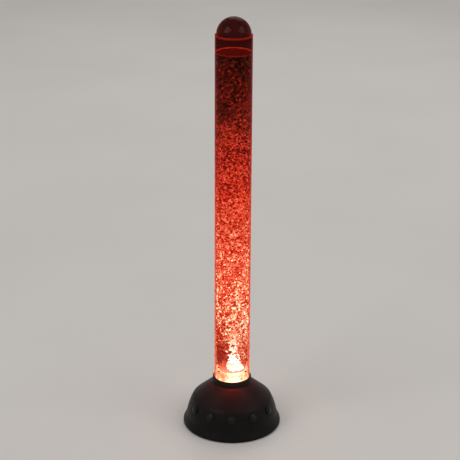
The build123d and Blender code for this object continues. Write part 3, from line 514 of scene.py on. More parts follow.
@dataclass(frozen=True)
class CloudWater(Finish):
    """Water thick with fine air bubbles and lit from below, which hides what is behind it.

    It is a speckle of bright and dark flecks as large as the bubbles, in clouds as wide as the
    tube. Near the foot, where the air rises in one plume, the water is clearer. The swirl carries
    the plume's light to the right, up to swirl_top.
    """

    light: WaterLight
    fleck: float = 9 * MM
    cloud: float = 55 * MM
    cloud_share: float = 0.35
    stretch: tuple[float, float, float] = (1.0, 1.0, 1.25)
    even_from: tuple[float, float] = (0.40, 0.50)
    bright_from: tuple[float, float] = (0.54, 0.64)
    swirl_left: float = -0.08
    swirl_right: float = 0.04
    swirl_edges: tuple[float, float] = (-30 * MM, 6 * MM)
    swirl_fade: float = 0.36
    swirl_top: float = 0.52
    strength: float = 1.15
    clear_tint: HeightStops = ((0.166, "#FFE4DA"), (0.178, "#F6C0B0"), (0.2, "#F2AC9C"), (0.3, "#D87868"))
    hiding: HeightStops = (
        (0.166, 0.05),
        (0.178, 0.35),
        (0.19, 0.65),
        (0.22, 0.84),
        (0.3, 0.97),
        (0.36, 1.0),
    )

    def surface(self, tree: Tree) -> Socket:
        """Builds the lit water's shader and returns its output socket."""
        place = add_node(tree, "TexCoord").outputs["Object"]
        height = height_at(tree)
        squeezed = add_node(tree, "Mapping", {"Vector": place, "Scale": self.stretch}).outputs["Vector"]
        flecks = add_node(
            tree,
            "TexNoise",
            {
                "Vector": squeezed,
                "Scale": 1 / self.fleck,
                "Detail": 2.0,
                "Roughness": 0.6,
                "Distortion": 1.5,
            },
        ).outputs["Fac"]
        clouds = add_node(tree, "TexNoise", {"Vector": place, "Scale": 1 / self.cloud, "Detail": 2.0})
        lifted = add_node(
            tree,
            "Math",
            {0: clouds, 1: self.cloud_share, 2: -self.cloud_share / 2},
            operation="MULTIPLY_ADD",
        ).outputs["Value"]
        summed = add_node(tree, "Math", {0: flecks, 1: lifted}, operation="ADD").outputs["Value"]
        across = add_node(tree, "SeparateXYZ", {"Vector": place}).outputs["X"]
        swirl_inputs = span(across, *self.swirl_edges, self.swirl_left, self.swirl_right)
        swirl = add_node(tree, "MapRange", swirl_inputs).outputs["Result"]
        fade_inputs = span(height, self.swirl_fade, self.swirl_top, 1.0, 0.0)
        swirl_share = add_node(tree, "MapRange", fade_inputs).outputs["Result"]
        both = add_node(
            tree, "Math", {0: swirl, 1: swirl_share, 2: summed}, operation="MULTIPLY_ADD"
        ).outputs["Value"]
        lit_share = add_node(tree, "MapRange", span(both, *self.even_from))
        bright_share = add_node(tree, "MapRange", span(both, *self.bright_from))
        lit = add_node(
            tree,
            "Mix",
            {
                0: lit_share,
                6: by_height(tree, height, self.light.dark),
                7: by_height(tree, height, self.light.even),
            },
            data_type="RGBA",
        ).outputs[2]
        flecked = add_node(
            tree,
            "Mix",
            {0: bright_share, 6: lit, 7: by_height(tree, height, self.light.bright)},
            data_type="RGBA",
        ).outputs[2]
        glow = add_node(tree, "Emission", {"Color": flecked, "Strength": self.strength})
        clear = add_node(tree, "BsdfTransparent", {"Color": by_height(tree, height, self.clear_tint)})
        mixed = add_node(tree, "MixShader", {0: by_height(tree, height, self.hiding), 1: clear, 2: glow})
        return mixed.outputs["Shader"]


@dataclass(frozen=True)
class BubbleSkin(Finish):
    """The skin of an air bubble in lit water: smooth and slightly rippled, with the light it mirrors
    painted on as a glow.
    """

    glow: Colour
    strength: float = 1.0
    ripple: float = 3 * MM
    ripple_depth: float = 0.2 * MM

    def surface(self, tree: Tree) -> Socket:
        """Builds the bubble's shader and returns its output socket."""
        place = add_node(tree, "TexCoord").outputs["Object"]
        shader = add_node(
            tree,
            "BsdfPrincipled",
            {
                "Base Color": linear("#0C0202"),
                "Roughness": 0.2,
                "IOR": 1.33,
                "Specular IOR Level": 0.1,
                "Emission Color": self.glow,
                "Emission Strength": self.strength,
                "Normal": relief(tree, place, self.ripple, self.ripple_depth, detail=1.0),
            },
        )
        return shader.outputs["BSDF"]


@dataclass(frozen=True)
class LitFilm(Finish):
    """A thin film of water on the bore, with a painted reflection of the lit water that faces into the
    tube.

    It sends light inwards only: from outside it is clear, so it shows on the far wall alone.
    """

    low: float
    high: float
    foot_glow: str = "#A83420"
    crest_glow: str = "#FF6A48"
    crest_height: float = 1.5 * MM
    strengths: tuple[float, float] = (1.1, 2.6)
    fleck: float = 5 * MM

    def surface(self, tree: Tree) -> Socket:
        """Builds the film's shader and returns its output socket."""
        place = add_node(tree, "TexCoord").outputs["Object"]
        geometry = add_node(tree, "NewGeometry").outputs
        facing = geometry["True Normal"]
        out = add_node(tree, "VectorMath", {0: facing, 1: place}, operation="DOT_PRODUCT")
        up = add_node(tree, "SeparateXYZ", {"Vector": facing}).outputs["Z"]
        level = add_node(tree, "Math", {0: up}, operation="ABSOLUTE").outputs["Value"]
        upright = add_node(tree, "Math", {0: level, 1: 0.5}, operation="LESS_THAN").outputs["Value"]
        inward = add_node(tree, "Math", {0: out.outputs["Value"], 1: 0.0}, operation="LESS_THAN")
        seen = add_node(tree, "Math", {0: inward, 1: geometry["Backfacing"]}, operation="SUBTRACT")
        share = add_node(tree, "Math", {0: seen, 1: upright}, operation="MULTIPLY")
        flecks = add_node(tree, "TexNoise", {"Vector": place, "Scale": 1 / self.fleck, "Detail": 2.0})
        strength = add_node(tree, "MapRange", span(flecks, 0.3, 0.7, *self.strengths))
        height = height_at(tree)
        crest = self.high - self.crest_height
        stops = ((self.low, self.foot_glow), (crest, self.crest_glow), (self.high, self.crest_glow))
        hue = by_height(tree, height, stops)
        clear = add_node(tree, "BsdfTransparent")
        light = add_node(tree, "Emission", {"Color": hue, "Strength": strength})
        mixed = add_node(tree, "MixShader", {0: share, 1: clear, 2: light})
        return mixed.outputs["Shader"]


@dataclass(frozen=True)
class LitPlastic(Finish):
    """Frosted or clear plastic right over the ring of lamps, which glows through from below.

    The light falls off from the middle outwards. It is a little whiter over each lamp of the ring,
    and most of all at the front and back, where the plume's light adds to it.
    """

    middle: str
    edge: HeightStops
    over_lamp: str
    reach: float
    lamp_count: int = 12
    lobe: float = 0.15
    lean: float = 0.19
    strength: float = 1.0
    plume_focus: float = 8.0
    grain: float = 2.5 * MM
    grain_depth: float = 0.1 * MM
    shimmer: float = 9 * MM
    shimmer_share: float = 0.45

    def surface(self, tree: Tree) -> Socket:
        """Builds the glowing plastic's shader and returns its output socket."""
        place = add_node(tree, "TexCoord").outputs["Object"]
        parts = add_node(tree, "SeparateXYZ", {"Vector": place}).outputs
        turn = add_node(tree, "Math", {0: parts["Y"], 1: parts["X"]}, operation="ARCTAN2")
        turns = add_node(tree, "Math", {0: turn, 1: float(self.lamp_count)}, operation="MULTIPLY")
        wave = add_node(tree, "Math", {0: turns}, operation="COSINE").outputs["Value"]
        lobe = add_node(tree, "MapRange", span(wave, 1.0, -1.0, 0.0, self.lobe)).outputs["Result"]
        leaning = add_node(tree, "Math", {0: turn, 1: -self.lean}, operation="ADD")
        along = add_node(tree, "Math", {0: leaning}, operation="SINE").outputs["Value"]
        front_lit = add_node(tree, "Math", {0: along, 1: self.plume_focus}, operation="POWER")
        shimmer = add_node(
            tree, "TexNoise", {"Vector": place, "Scale": 1 / self.shimmer, "Detail": 2.0, "Distortion": 1.5}
        )
        most = self.shimmer_share
        stray = add_node(tree, "MapRange", span(shimmer, 0.35, 0.65, -most, most))
        flecked = add_node(tree, "Math", {0: lobe, 1: stray}, operation="ADD")
        inputs = {0: front_lit, 1: flecked}
        white = add_node(tree, "Math", inputs, operation="ADD", use_clamp=True)
        flat = add_node(tree, "VectorMath", {0: place, 1: (1.0, 1.0, 0.0)}, operation="MULTIPLY")
        away = add_node(tree, "VectorMath", {0: flat}, operation="LENGTH")
        rim_inputs = span(away.outputs["Value"], 0.3 * self.reach, self.reach)
        share = add_node(tree, "MapRange", rim_inputs).outputs["Result"]
        ring = add_node(
            tree,
            "Mix",
            {0: white, 6: by_height(tree, parts["Z"], self.edge), 7: linear(self.over_lamp)},
            data_type="RGBA",
        ).outputs[2]
        hue = add_node(
            tree, "Mix", {0: share, 6: linear(self.middle), 7: ring}, data_type="RGBA"
        ).outputs[2]
        shader = add_node(
            tree,
            "BsdfPrincipled",
            {
                "Base Color": linear("#2A0A06"),
                "Roughness": 0.4,
                "IOR": 1.49,
                "Emission Color": hue,
                "Emission Strength": self.strength,
                "Normal": relief(tree, place, self.grain, self.grain_depth, strength=0.4),
            },
        )
        return shader.outputs["BSDF"]


# Housing and buttons: injection-moulded ABS. A fine erosion grain makes it satin, nearly black.
# Real grain is about 0.1 mm, drawn at 1.4 mm so that it still breaks up the highlight.
BLACK_ABS = Moulded(
    "black_abs_moulded", "#0D0B0B", "#131010", roughness=0.42, grain=1.4 * MM, specular=0.1
)
BUTTON_ABS = Moulded("button_abs_polished", "#0B0909", "#100D0D", roughness=0.3, specular=0.2)
BEZEL_ABS = Moulded("bezel_abs_moulded", "#0A0909", "#0F0D0D", roughness=0.36, specular=0.15)
# Collar: moulded ABS with a coarser mould face, so a little duller than the housing
COLLAR_ABS = Moulded("collar_abs_moulded", "#050404", "#080606", roughness=0.5, specular=0.1)
# Base plate: pressed sheet, powder-coated black, so an orange-peel skin
PLATE_COAT = Moulded(
    "plate_powder_coated", "#131313", "#1B1A1A", roughness=0.55, grain=2 * MM, grain_depth=0.1 * MM
)
# Feet, seals, grommet and gaskets: moulded rubber, matt with a dusty bloom
BLACK_RUBBER = Moulded("black_rubber_moulded", "#141414", "#222120", roughness=0.8, ior=1.52)
# Socket and pillars: glass-filled nylon, grey-black with short fibres at the skin
SOCKET_NYLON = Moulded("socket_nylon_moulded", "#1A1A1B", "#242425", roughness=0.6, ior=1.53)
# Nozzle and its nut: turned acetal, milky white and slightly waxy
NOZZLE_ACETAL = Moulded("nozzle_acetal_turned", "#D8C9BB", "#E6DACF", roughness=0.35, ior=1.48)
# Hoses: extruded silicone, cloudy with a soft sheen
SILICONE = Moulded("hose_silicone_extruded", "#C9C4BC", "#D9D5CE", roughness=0.38, ior=1.41)
# Pump: moulded ABS, plain dark grey
PUMP_ABS = Moulded("pump_abs_moulded", "#26272A", "#303236", roughness=0.5)
PUMP_VALVE = Moulded("valve_block_abs_moulded", "#3A3C40", "#45474B", roughness=0.45)
# Leads: PVC, slightly glossy
LEAD_PVC = Moulded("lead_pvc_extruded", "#5A1512", "#6A1A16", roughness=0.4)
PUMP_PVC = Moulded("pump_lead_pvc_extruded", "#1D2A4A", "#24335A", roughness=0.4)
TERMINAL_NYLON = Moulded("terminal_nylon_moulded", "#C8C4B8", "#D4D0C6", roughness=0.5)
SWITCH_NYLON = Moulded("switch_nylon_moulded", "#1C1A1A", "#262323", roughness=0.5)
PART_EPOXY = Moulded("part_epoxy_moulded", "#17181A", "#202225", roughness=0.45)
MAGNET = Moulded("magnet_ferrite_sintered", "#2B2A2A", "#383636", roughness=0.65)
# Fasteners: zinc-plated steel, bright with a faint haze from the bath
ZINC_STEEL = Metal("fastener_steel_zinc_plated", "#B9BDC2", roughness=0.32)
DARK_STEEL = Metal("screw_steel_blackened", "#4A2A26", roughness=0.4)
SPRING_STEEL = Metal("spring_steel_drawn", "#A6A9AD", roughness=0.28, drawn=(1.0, 1.0, 6.0))
# Heat sink: extruded aluminium, with die lines along the fins
SINK_ALUMINIUM = Metal("sink_aluminium_extruded", "#C4C6C8", roughness=0.35, drawn=(0.05, 1.0, 1.0))
TERMINAL_BRASS = Metal("terminal_brass_turned", "#C9A24E", roughness=0.3)
ARM_STEEL = Metal("arm_steel_pressed", "#9A9DA1", roughness=0.36)
# Boards: green mask on the control board, white on the lamp board to throw the light up
CONTROL_MASK = Board("control_board_solder_mask", "#0E4A2A", "#1B6A40")
LAMP_MASK = Board("lamp_board_white_mask", "#D9D6CF", "#BDB8AE")
# Core: stacked iron sheets 0.5 mm thick. Coil: enamelled copper wire 0.4 mm thick.
CORE_IRON = Wound("core_iron_laminated", "#7C7A78", "#2A2928", pitch=0.5 * MM)
COIL_COPPER = Wound("coil_copper_enamelled", "#B4552A", "#4A1C0C", pitch=0.4 * MM, direction="X")


def piece_from(name: str, points: list, faces: list, marks: list | None = None) -> bpy.types.Object:
    """Makes an object from points and faces and links it to the scene.

    Args:
        name: Name of the piece.
        points: Its vertices, in metres.
        faces: Its faces, as vertex numbers.
        marks: The material number of each face, if it has several.

    Returns:
        The new object, with smooth faces.
    """
    mesh = bpy.data.meshes.new(name)
    mesh.from_pydata(points, [], faces)
    mesh.polygons.foreach_set("use_smooth", [True] * len(mesh.polygons))
    if marks:
        mesh.polygons.foreach_set("material_index", marks)
    mesh.update()
    piece = bpy.data.objects.new(name, mesh)
    bpy.context.scene.collection.objects.link(piece)
    return piece


def dress(piece: bpy.types.Object, *finishes: Finish) -> None:
    """Replaces a piece's materials by those of the given finishes.

    Clearing an empty list would still set the material numbers of the faces back to 0.
    """
    if piece.data.materials:
        piece.data.materials.clear()
    for finish in finishes:
        piece.data.materials.append(finish.material())


def dress_nodes(finish: Finish, *names: str) -> None:
    """Gives carried-over CAD nodes one finish and reports them."""
    for name in names:
        dress(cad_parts[name], finish)
        log.info("node %s: %s", name, finish.name)


def settle(piece: bpy.types.Object, body: Body) -> None:
    """Puts a new piece on its body and reports it."""
    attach(piece, body.value)
    log.info("piece %s: %d faces, on %s", piece.name, len(piece.data.polygons), body.value)


@dataclass
class Bubble:
    """One air bubble: flattened by its rise, tilted by the swirl, with a painted glint on one side.

    lit is added to what each face has from the glint: below 0 the bubble is mostly in painted shade.
    """

    centre: Vector
    radius: float
    flatness: float
    tilt: Euler
    glint: Vector
    lit: float


def random_direction(chance: random.Random) -> Vector:
    """Draws a direction, all of them as likely."""
    height = chance.uniform(-1.0, 1.0)
    turn = chance.uniform(0.0, 2 * math.pi)
    flat = math.sqrt(1.0 - height * height)
    return Vector((flat * math.cos(turn), flat * math.sin(turn), height))


def round_axis(turn: float, reach: float, height: float, shift: float = 0.0) -> Vector:
    """Gives the point at an angle round the tube's axis, with an optional shift to the right."""
    return Vector((math.cos(turn) * reach + shift, math.sin(turn) * reach, height))


def loose_bubble(
    chance: random.Random, centre: Vector, radius: float, flatness: float, lean: float, lit: float
) -> Bubble:
    """Makes a bubble that leans at random and has its glint on any side.

    Args:
        chance: Where the draws come from.
        centre: Centre of the bubble.
        radius: Its radius.
        flatness: Its height as a share of its width.
        lean: The largest lean in radians, or 0 for a bubble that stays level.
        lit: How bright it is on the whole.

    Returns:
        The bubble.
    """
    tilt = Euler([chance.uniform(-lean, lean), chance.uniform(-lean, lean), 0.0]) if lean else Euler()
    return Bubble(centre, radius, flatness, tilt, random_direction(chance), lit)


class BubbleMould:
    """Turns lists of bubbles into one mesh, with a material number on every face."""

    def __init__(self) -> None:
        """Makes the unit ball that all bubbles are cast from."""
        ball = bmesh.new()
        bmesh.ops.create_icosphere(ball, subdivisions=2, radius=1.0)
        self.points = [vertex.co.copy() for vertex in ball.verts]
        self.faces = [[vertex.index for vertex in face.verts] for face in ball.faces]
        self.face_directions = [face.calc_center_median().normalized() for face in ball.faces]
        ball.free()

    def cast(self, name: str, bubbles: list[Bubble]) -> bpy.types.Object:
        """Casts bubbles into one piece. Each has a painted highlight, an even belt and painted shade.

        Args:
            name: Name of the piece.
            bubbles: The bubbles.

        Returns:
            The piece, not dressed yet. Its material numbers follow the order of Tone.
        """
        points, faces, marks = [], [], []
        for bubble in bubbles:
            first = len(points)
            turn = bubble.tilt.to_matrix()
            shape = turn @ Matrix.Diagonal((1.0, 1.0, bubble.flatness)) * bubble.radius
            points.extend(tuple(shape @ point + bubble.centre) for point in self.points)
            faces.extend([first + number for number in face] for face in self.faces)
            aim = turn.transposed() @ bubble.glint
            for direction in self.face_directions:
                # Painted light: faces towards the glint take the bright skin, a painted highlight, and
                # faces away from it take the dark skin, painted shade.
                light = 0.75 * direction.dot(aim) + bubble.lit
                marks.append(0 if light < 0.0 else 2 if light > 0.5 else 1)
        return piece_from(name, points, faces, marks)


@dataclass
class WaterColumn:
    """The lit water in the tube: its bubbles, the cloud behind them, the plume and the froth."""

    light: WaterLight
    foot: float
    top: float
    bore: float
    seed: int = 7
    # Bubbles along the wall: few over the nozzle, then more and more up to calm_height
    band_count: int = 16
    bubble_count: int = 6400
    bubble_radius: tuple[float, float] = (2.0 * MM, 4.8 * MM)
    bubble_foot_gap: float = 6 * MM
    bubble_depth: float = 3 * MM
    skin_gap: float = 0.25 * MM
    calm_height: float = 0.29
    foot_share: float = 0.03
    clear_rise: float = 56 * MM
    # How lit each bubble's painted highlight and shade are: a random mood that spreads more higher up,
    # lifted near the foot.
    moods: tuple[float, ...] = (-0.9, -0.6, -0.3, -0.1, 0.1, 0.3)
    mood_growth: float = 0.7
    foot_lift: float = 0.15
    foot_growth: float = 0.4
    foot_reach: float = 0.3
    # Painted light: low in the tube, bubbles on the right (+X) are lit brighter and those on the left
    # darker.
    swirl_light: float = 0.4
    # Cloud of fine bubbles behind them
    cloud_radius: float = 43.4 * MM
    cloud_lump: float = 0.9 * MM
    cloud_lump_size: float = 9 * MM
    cloud_foot_share: float = 0.86
    cloud_foot_height: float = 30 * MM
    cloud_foot_gap: float = 2 * MM
    surface_gap: float = 3 * MM
    cloud_sides: int = 120
    cloud_ring_height: float = 3 * MM
    # Froth on the surface, and film on the bore over it
    froth_count: int = 1000
    froth_radius: tuple[float, float] = (1.0 * MM, 2.2 * MM)
    froth_rise: tuple[float, float] = (-0.4 * MM, 1.6 * MM)
    film_height: float = 4 * MM
    film_gap: float = 0.2 * MM
    film_sides: int = 144
    # Plume over the nozzle, with upright streaks in its foot
    plume_count: int = 1400
    plume_lean: float = 9 * MM
    plume_core: float = 80 * MM
    plume_crest: float = 22 * MM
    plume_foot: float = 4 * MM
    plume_height: float = 280 * MM
    plume_thinning: float = 2.1
    plume_lean_share: float = 0.35
    plume_radius: tuple[float, float] = (1.6 * MM, 3.6 * MM)
    streak_count: int = 80
    streak_radius: float = 1.7 * MM
    streak_reach: float = 13 * MM
    streak_rise: tuple[float, float] = (14 * MM, 30 * MM)
    streak_lean: float = 5 * MM
    # Drift of small bubbles to the right of the plume
    drift_count: int = 420
    drift_radius: tuple[float, float] = (1.6 * MM, 3.2 * MM)
    drift_turn: float = -48.0
    drift_spread: float = 20.0
    drift_depth: float = 4.0 * MM
    drift_rise: tuple[float, float] = (40 * MM, 170 * MM)
    mould: BubbleMould = field(default_factory=BubbleMould)

    def build(self) -> None:
        """Builds and dresses everything in the water."""
        self.dress_water()
        self.build_cloud()
        self.build_bubbles()
        self.build_plume()
        self.build_drift()
        self.build_froth()
        self.build_film()

    def dress_water(self) -> None:
        """Gives the water its clear skin, which hardly mirrors because it touches the acrylic."""
        skin = ClearPlastic(
            "water_lit_red",
            tint=((self.foot, "#FFFBFA"), (self.top - 40 * MM, "#FBF0EE"), (self.top, "#F4DAD5")),
            glow=((self.foot, "#000000"), (self.top, "#060101")),
            outline_glow=((self.foot, "#400A04"), (self.top, "#0C0201")),
            outline_tint=((self.foot, "#E8B0A4"), (self.top, "#E8B0A4")),
            mirror=0.1,
            ior=1.33,
            ripple=9 * MM,
            ripple_depth=0.4 * MM,
        )
        dress_nodes(skin, "water_column")

    def build_cloud(self) -> None:
        """Builds the lumpy body of fine bubbles behind the large ones, narrow at its foot."""
        low = self.foot + self.cloud_foot_gap
        high = self.top - self.surface_gap
        rings = round((high - low) / self.cloud_ring_height)
        points, faces = [], []
        for ring in range(rings + 1):
            height = low + (high - low) * ring / rings
            widening = (1.0 - self.cloud_foot_share) * (height - low) / self.cloud_foot_height
            opening = min(1.0, self.cloud_foot_share + widening)
            for side in range(self.cloud_sides):
                turn = 2 * math.pi * side / self.cloud_sides
                spot = Vector((math.cos(turn), math.sin(turn), 0.0))
                wall = spot * self.cloud_radius + Vector((0, 0, height))
                lump = noise.noise(wall / self.cloud_lump_size)
                reach = self.cloud_radius * opening + lump * self.cloud_lump
                points.append((spot.x * reach, spot.y * reach, height))
        for ring in range(rings):
            for side in range(self.cloud_sides):
                after = (side + 1) % self.cloud_sides
                row, above = ring * self.cloud_sides, (ring + 1) * self.cloud_sides
                faces.append([row + side, row + after, above + after, above + side])
        faces.append([rings * self.cloud_sides + side for side in range(self.cloud_sides)])
        faces.append([side for side in reversed(range(self.cloud_sides))])
        cloud = piece_from("bubble_cloud", points, faces)
        dress(cloud, CloudWater("water_bubble_cloud", light=self.light))
        settle(cloud, Body.BASE)

    def band_skins(self, height: float, number: int) -> list[BubbleSkin]:
        """Makes the three skins of a band of bubbles, from painted shade to painted highlight.

        Args:
            height: Middle of the band over the floor.
            number: Number of the band, from the foot up.

        Returns:
            The skins in the order of Tone.
        """
        return [
            BubbleSkin(f"bubble_skin_{tone.value}_{number:02d}", glow=self.light.colour_at(tone, height))
            for tone in Tone
        ]

    def build_bubbles(self) -> None:
        """Builds the bubbles that rise along the wall, in bands of like brightness."""
        chance = random.Random(self.seed)
        bands: list[list[Bubble]] = [[] for _ in range(self.band_count)]
        low, high = self.foot + self.bubble_foot_gap, self.top - self.surface_gap
        band_height = (high - low) / self.band_count
        small, large = self.bubble_radius
        for _ in range(self.bubble_count):
            radius = small + (large - small) * chance.random() ** 1.4
            turn = chance.uniform(0.0, 2 * math.pi)
            height = chance.uniform(low + radius, high - radius)
            radius *= 1.0 + self.foot_growth * max(0.0, 1.0 - (height - low) / self.foot_reach)
            reach = self.bore - self.skin_gap - radius - chance.random() ** 2 * self.bubble_depth
            outward = Vector((math.cos(turn), math.sin(turn), 0.0))
            calmness = min(max(height - low - self.clear_rise, 0.0) / (self.calm_height - low), 1.0)
            kept = chance.random() < self.foot_share + (1.0 - self.foot_share) * calmness
            spread = (height - low) / band_height + chance.uniform(-0.6, 0.6)
            band = min(max(int(spread), 0), self.band_count - 1)
            lean = 0.4 + 0.4 * calmness
            rise = (height - low) / (high - low)
            # Painted light: brighter on the right, darker on the left, fading out by foot_reach.
            swirl = self.swirl_light * outward.x * max(0.0, 1.0 - (height - low) / self.foot_reach)
            bubble = Bubble(
                centre=outward * reach + Vector((0.0, 0.0, height)),
                radius=radius,
                flatness=chance.uniform(0.35, 0.6) + 0.25 * calmness,
                tilt=Euler(
                    [chance.uniform(-lean, lean), chance.uniform(-lean, lean), chance.uniform(0.0, 3.1)]
                ),
                glint=(outward * 0.7 + random_direction(chance)).normalized(),
                lit=swirl
                + chance.choice(self.moods) * (1.0 + self.mood_growth * rise)
                + self.foot_lift * (1.0 - rise),
            )
            if kept:
                bands[band].append(bubble)
        for number, bubbles in enumerate(bands):
            piece = self.mould.cast(f"bubbles_{number:02d}", bubbles)
            dress(piece, *self.band_skins(low + (number + 0.5) * band_height, number))
            settle(piece, Body.BASE)

    def plume_width(self, height: float) -> float:
        """Gives the plume's half width: a flame that opens into a loose swarm further up."""
        # Height over the nozzle and half width, both in millimetres
        stops = ((0, 25), (14, 20), (34, 15), (54, 11), (80, 8), (100, 9), (160, 20), (300, 32))
        rise = (height - self.foot) / MM
        for (low, start), (high, end) in zip(stops, stops[1:]):
            if rise <= high:
                return (start + (end - start) * (rise - low) / (high - low)) * MM
        return stops[-1][1] * MM

    def build_plume(self) -> None:
        """Builds the white-hot plume over the nozzle: crowded bubbles and upright streaks."""
        chance = random.Random(self.seed + 1)
        bubbles = []
        for _ in range(self.plume_count):
            rise = self.plume_foot + self.plume_height * chance.random() ** self.plume_thinning
            height = self.foot + rise
            turn = chance.uniform(0.0, 2 * math.pi)
            reach = self.plume_width(height) * math.sqrt(chance.random())
            lean = self.plume_lean * max(self.plume_lean_share, 1.0 - rise / self.plume_core)
            centre = round_axis(turn, reach, height, lean)
            radius = chance.uniform(*self.plume_radius)
            lit = 1.2 if rise < self.plume_core else 0.6
            bubbles.append(loose_bubble(chance, centre, radius, flatness=0.8, lean=0.8, lit=lit))
        upward = Vector((0.0, 0.0, 1.0))
        for _ in range(self.streak_count):
            turn = chance.uniform(0.0, 2 * math.pi)
            reach = self.streak_reach * math.sqrt(chance.random())
            height = self.foot + chance.uniform(*self.streak_rise)
            centre = round_axis(turn, reach, height, self.streak_lean)
            bubbles.append(Bubble(centre, self.streak_radius, 4.5, Euler(), upward, lit=1.5))
        crest = self.foot + self.plume_crest
        parts = (
            ("air_plume", [bubble for bubble in bubbles if bubble.centre.z < crest], 1.0),
            ("air_plume_crest", [bubble for bubble in bubbles if bubble.centre.z >= crest], 4.5),
        )
        for name, part, heat in parts:
            plume = self.mould.cast(name, part)
            # The three skins in the order of Tone: painted shade, even belt, painted highlight.
            dress(
                plume,
                BubbleSkin(f"{name}_bubbles_red", glow=(2.0, 0.5, 0.25, 1.0), strength=heat),
                BubbleSkin(f"{name}_bubbles_orange", glow=(4.0, 3.4, 2.2, 1.0), strength=heat),
                BubbleSkin(f"{name}_bubbles_white", glow=(6.0, 8.0, 8.0, 1.0), strength=heat),
            )
            settle(plume, Body.BASE)

    def build_drift(self) -> None:
        """Builds the drift of small bubbles that the swirl carries to the right over the plate."""
        chance = random.Random(self.seed + 3)
        bubbles = []
        for _ in range(self.drift_count):
            radius = chance.uniform(*self.drift_radius)
            turn = math.radians(chance.gauss(self.drift_turn, self.drift_spread))
            reach = self.bore - self.skin_gap - radius - abs(chance.gauss(0.0, self.drift_depth))
            height = self.foot + chance.uniform(*self.drift_rise)
            centre = round_axis(turn, reach, height)
            bubbles.append(loose_bubble(chance, centre, radius, flatness=0.6, lean=0.8, lit=0.15))
        drift = self.mould.cast("air_drift", bubbles)
        # The three skins in the order of Tone: painted shade, even belt, painted highlight.
        dress(
            drift,
            BubbleSkin("drift_skin_dark", glow=linear("#DA4C30")),
            BubbleSkin("drift_skin_red", glow=linear("#EE7452")),
            BubbleSkin("drift_skin_bright", glow=linear("#FFC4A0"), strength=1.3),
        )
        settle(drift, Body.BASE)

    def build_froth(self) -> None:
        """Builds the froth on the surface, crowded where it meets the wall."""
        chance = random.Random(self.seed + 2)
        bubbles = []
        for _ in range(self.froth_count):
            radius = chance.uniform(*self.froth_radius)
            turn = chance.uniform(0.0, 2 * math.pi)
            reach = (self.bore - self.skin_gap - radius) * math.sqrt(chance.random())
            centre = round_axis(turn, reach, self.top + chance.uniform(*self.froth_rise))
            bubbles.append(loose_bubble(chance, centre, radius, flatness=0.85, lean=0.0, lit=-0.1))
        froth = self.mould.cast("surface_froth", bubbles)
        # The three skins in the order of Tone: painted shade, even belt, painted highlight.
        dress(
            froth,
            BubbleSkin("froth_skin_dark", glow=linear("#660D05")),
            BubbleSkin("froth_skin_red", glow=linear("#A8220E")),
            BubbleSkin("froth_skin_bright", glow=linear("#E85030")),
        )
        settle(froth, Body.BASE)

    def build_film(self) -> None:
        """Builds the film of water that clings to the bore over the surface."""
        sides, low, high = self.film_sides, self.top + self.film_gap, self.top + self.film_height
        outer, inner = self.bore - self.skin_gap / 2, self.bore - self.skin_gap
        points = [
            round_axis(2 * math.pi * side / sides, reach, height)
            for reach, height in ((outer, low), (outer, high), (inner, high), (inner, low))
            for side in range(sides)
        ]
        faces = [
            [ring * sides + side, ring * sides + after, above * sides + after, above * sides + side]
            for ring, above in ((0, 1), (1, 2), (2, 3), (3, 0))
            for side, after in ((side, (side + 1) % sides) for side in range(sides))
        ]
        film = piece_from("surface_film", points, faces)
        dress(film, LitFilm("water_film_on_bore", low=self.top, high=high))
        settle(film, Body.BASE)


@dataclass
class ClearParts:
    """The acrylic tube and its domed lid."""

    foot: float
    surface_height: float
    rim_height: float
    top: float

    def build(self) -> None:
        """Dresses the tube and the lid."""
        rim = self.rim_height
        # Painted red light: the clear acrylic of the tube above the water and of the lid gets a pink-brown
        # see-through tint, which stands in for the red light the acrylic carries.
        painted_red_above_water = "#B8847C"
        tube = ClearPlastic(
            "tube_acrylic_cast",
            tint=(
                (self.foot, "#FEF8F6"),
                (self.surface_height, "#FCF2F0"),
                (self.surface_height + 4 * MM, painted_red_above_water),
                (rim, painted_red_above_water),
            ),
            glow=(
                (self.foot, "#2A0602"),
                (0.5, "#1A0402"),
                (0.8, "#0A0100"),
                (rim - 2 * MM, "#080100"),
                (rim, "#4A0A06"),
            ),
            outline_glow=(
                (self.foot, "#FF7A50"),
                (0.4, "#F86442"),
                (0.6, "#F04E32"),
                (0.75, "#C83420"),
                (0.9, "#8E1C10"),
                (1.05, "#6A120A"),
                (rim, "#601009"),
            ),
            outline_tint=(
                (self.foot, "#5A1A12"),
                (self.foot + 50 * MM, "#2A0604"),
                (self.surface_height, "#1A0302"),
                (self.surface_height + 4 * MM, "#6A2A22"),
                (rim, "#6A2A22"),
            ),
            outline_start=0.6,
            outline_end=0.7,
            outline_fleck=9 * MM,
            mirror=0.15,
            ripple_depth=0.02 * MM,
        )
        lid = ClearPlastic(
            "lid_acrylic_moulded",
            # Painted red light: the lid's tint turns red at the flange and pink-brown over the dome, for
            # the red light the clear acrylic carries.
            tint=(
                (rim - 16 * MM, "#F2DAD6"),
                (rim, "#F2DAD6"),
                (rim + 1 * MM, "#B05044"),
                (rim + 3 * MM, painted_red_above_water),
                (self.top, painted_red_above_water),
            ),
            glow=(
                (rim - 16 * MM, "#0A0201"),
                (rim - 1 * MM, "#0A0201"),
                (rim, "#541009"),
                (rim + 2.4 * MM, "#541009"),
                (rim + 3.4 * MM, "#0C0201"),
                (self.top, "#080101"),
            ),
            outline_glow=(
                (rim - 16 * MM, "#3C0A05"),
                (rim - 1 * MM, "#3C0A05"),
                (rim, "#8A1C12"),
                (rim + 2.4 * MM, "#8A1C12"),
                (rim + 3.4 * MM, "#54100A"),
                (self.top, "#440C07"),
            ),
            outline_tint=((rim - 16 * MM, "#8A4036"), (rim + 3.4 * MM, "#5A1A12"), (self.top, "#5A1A12")),
            outline_start=0.4,
            outline_end=0.8,
            mirror=0.25,
            ripple_depth=0.02 * MM,
        )
        dress_nodes(tube, "tube")
        dress_nodes(lid, "dome_lid")


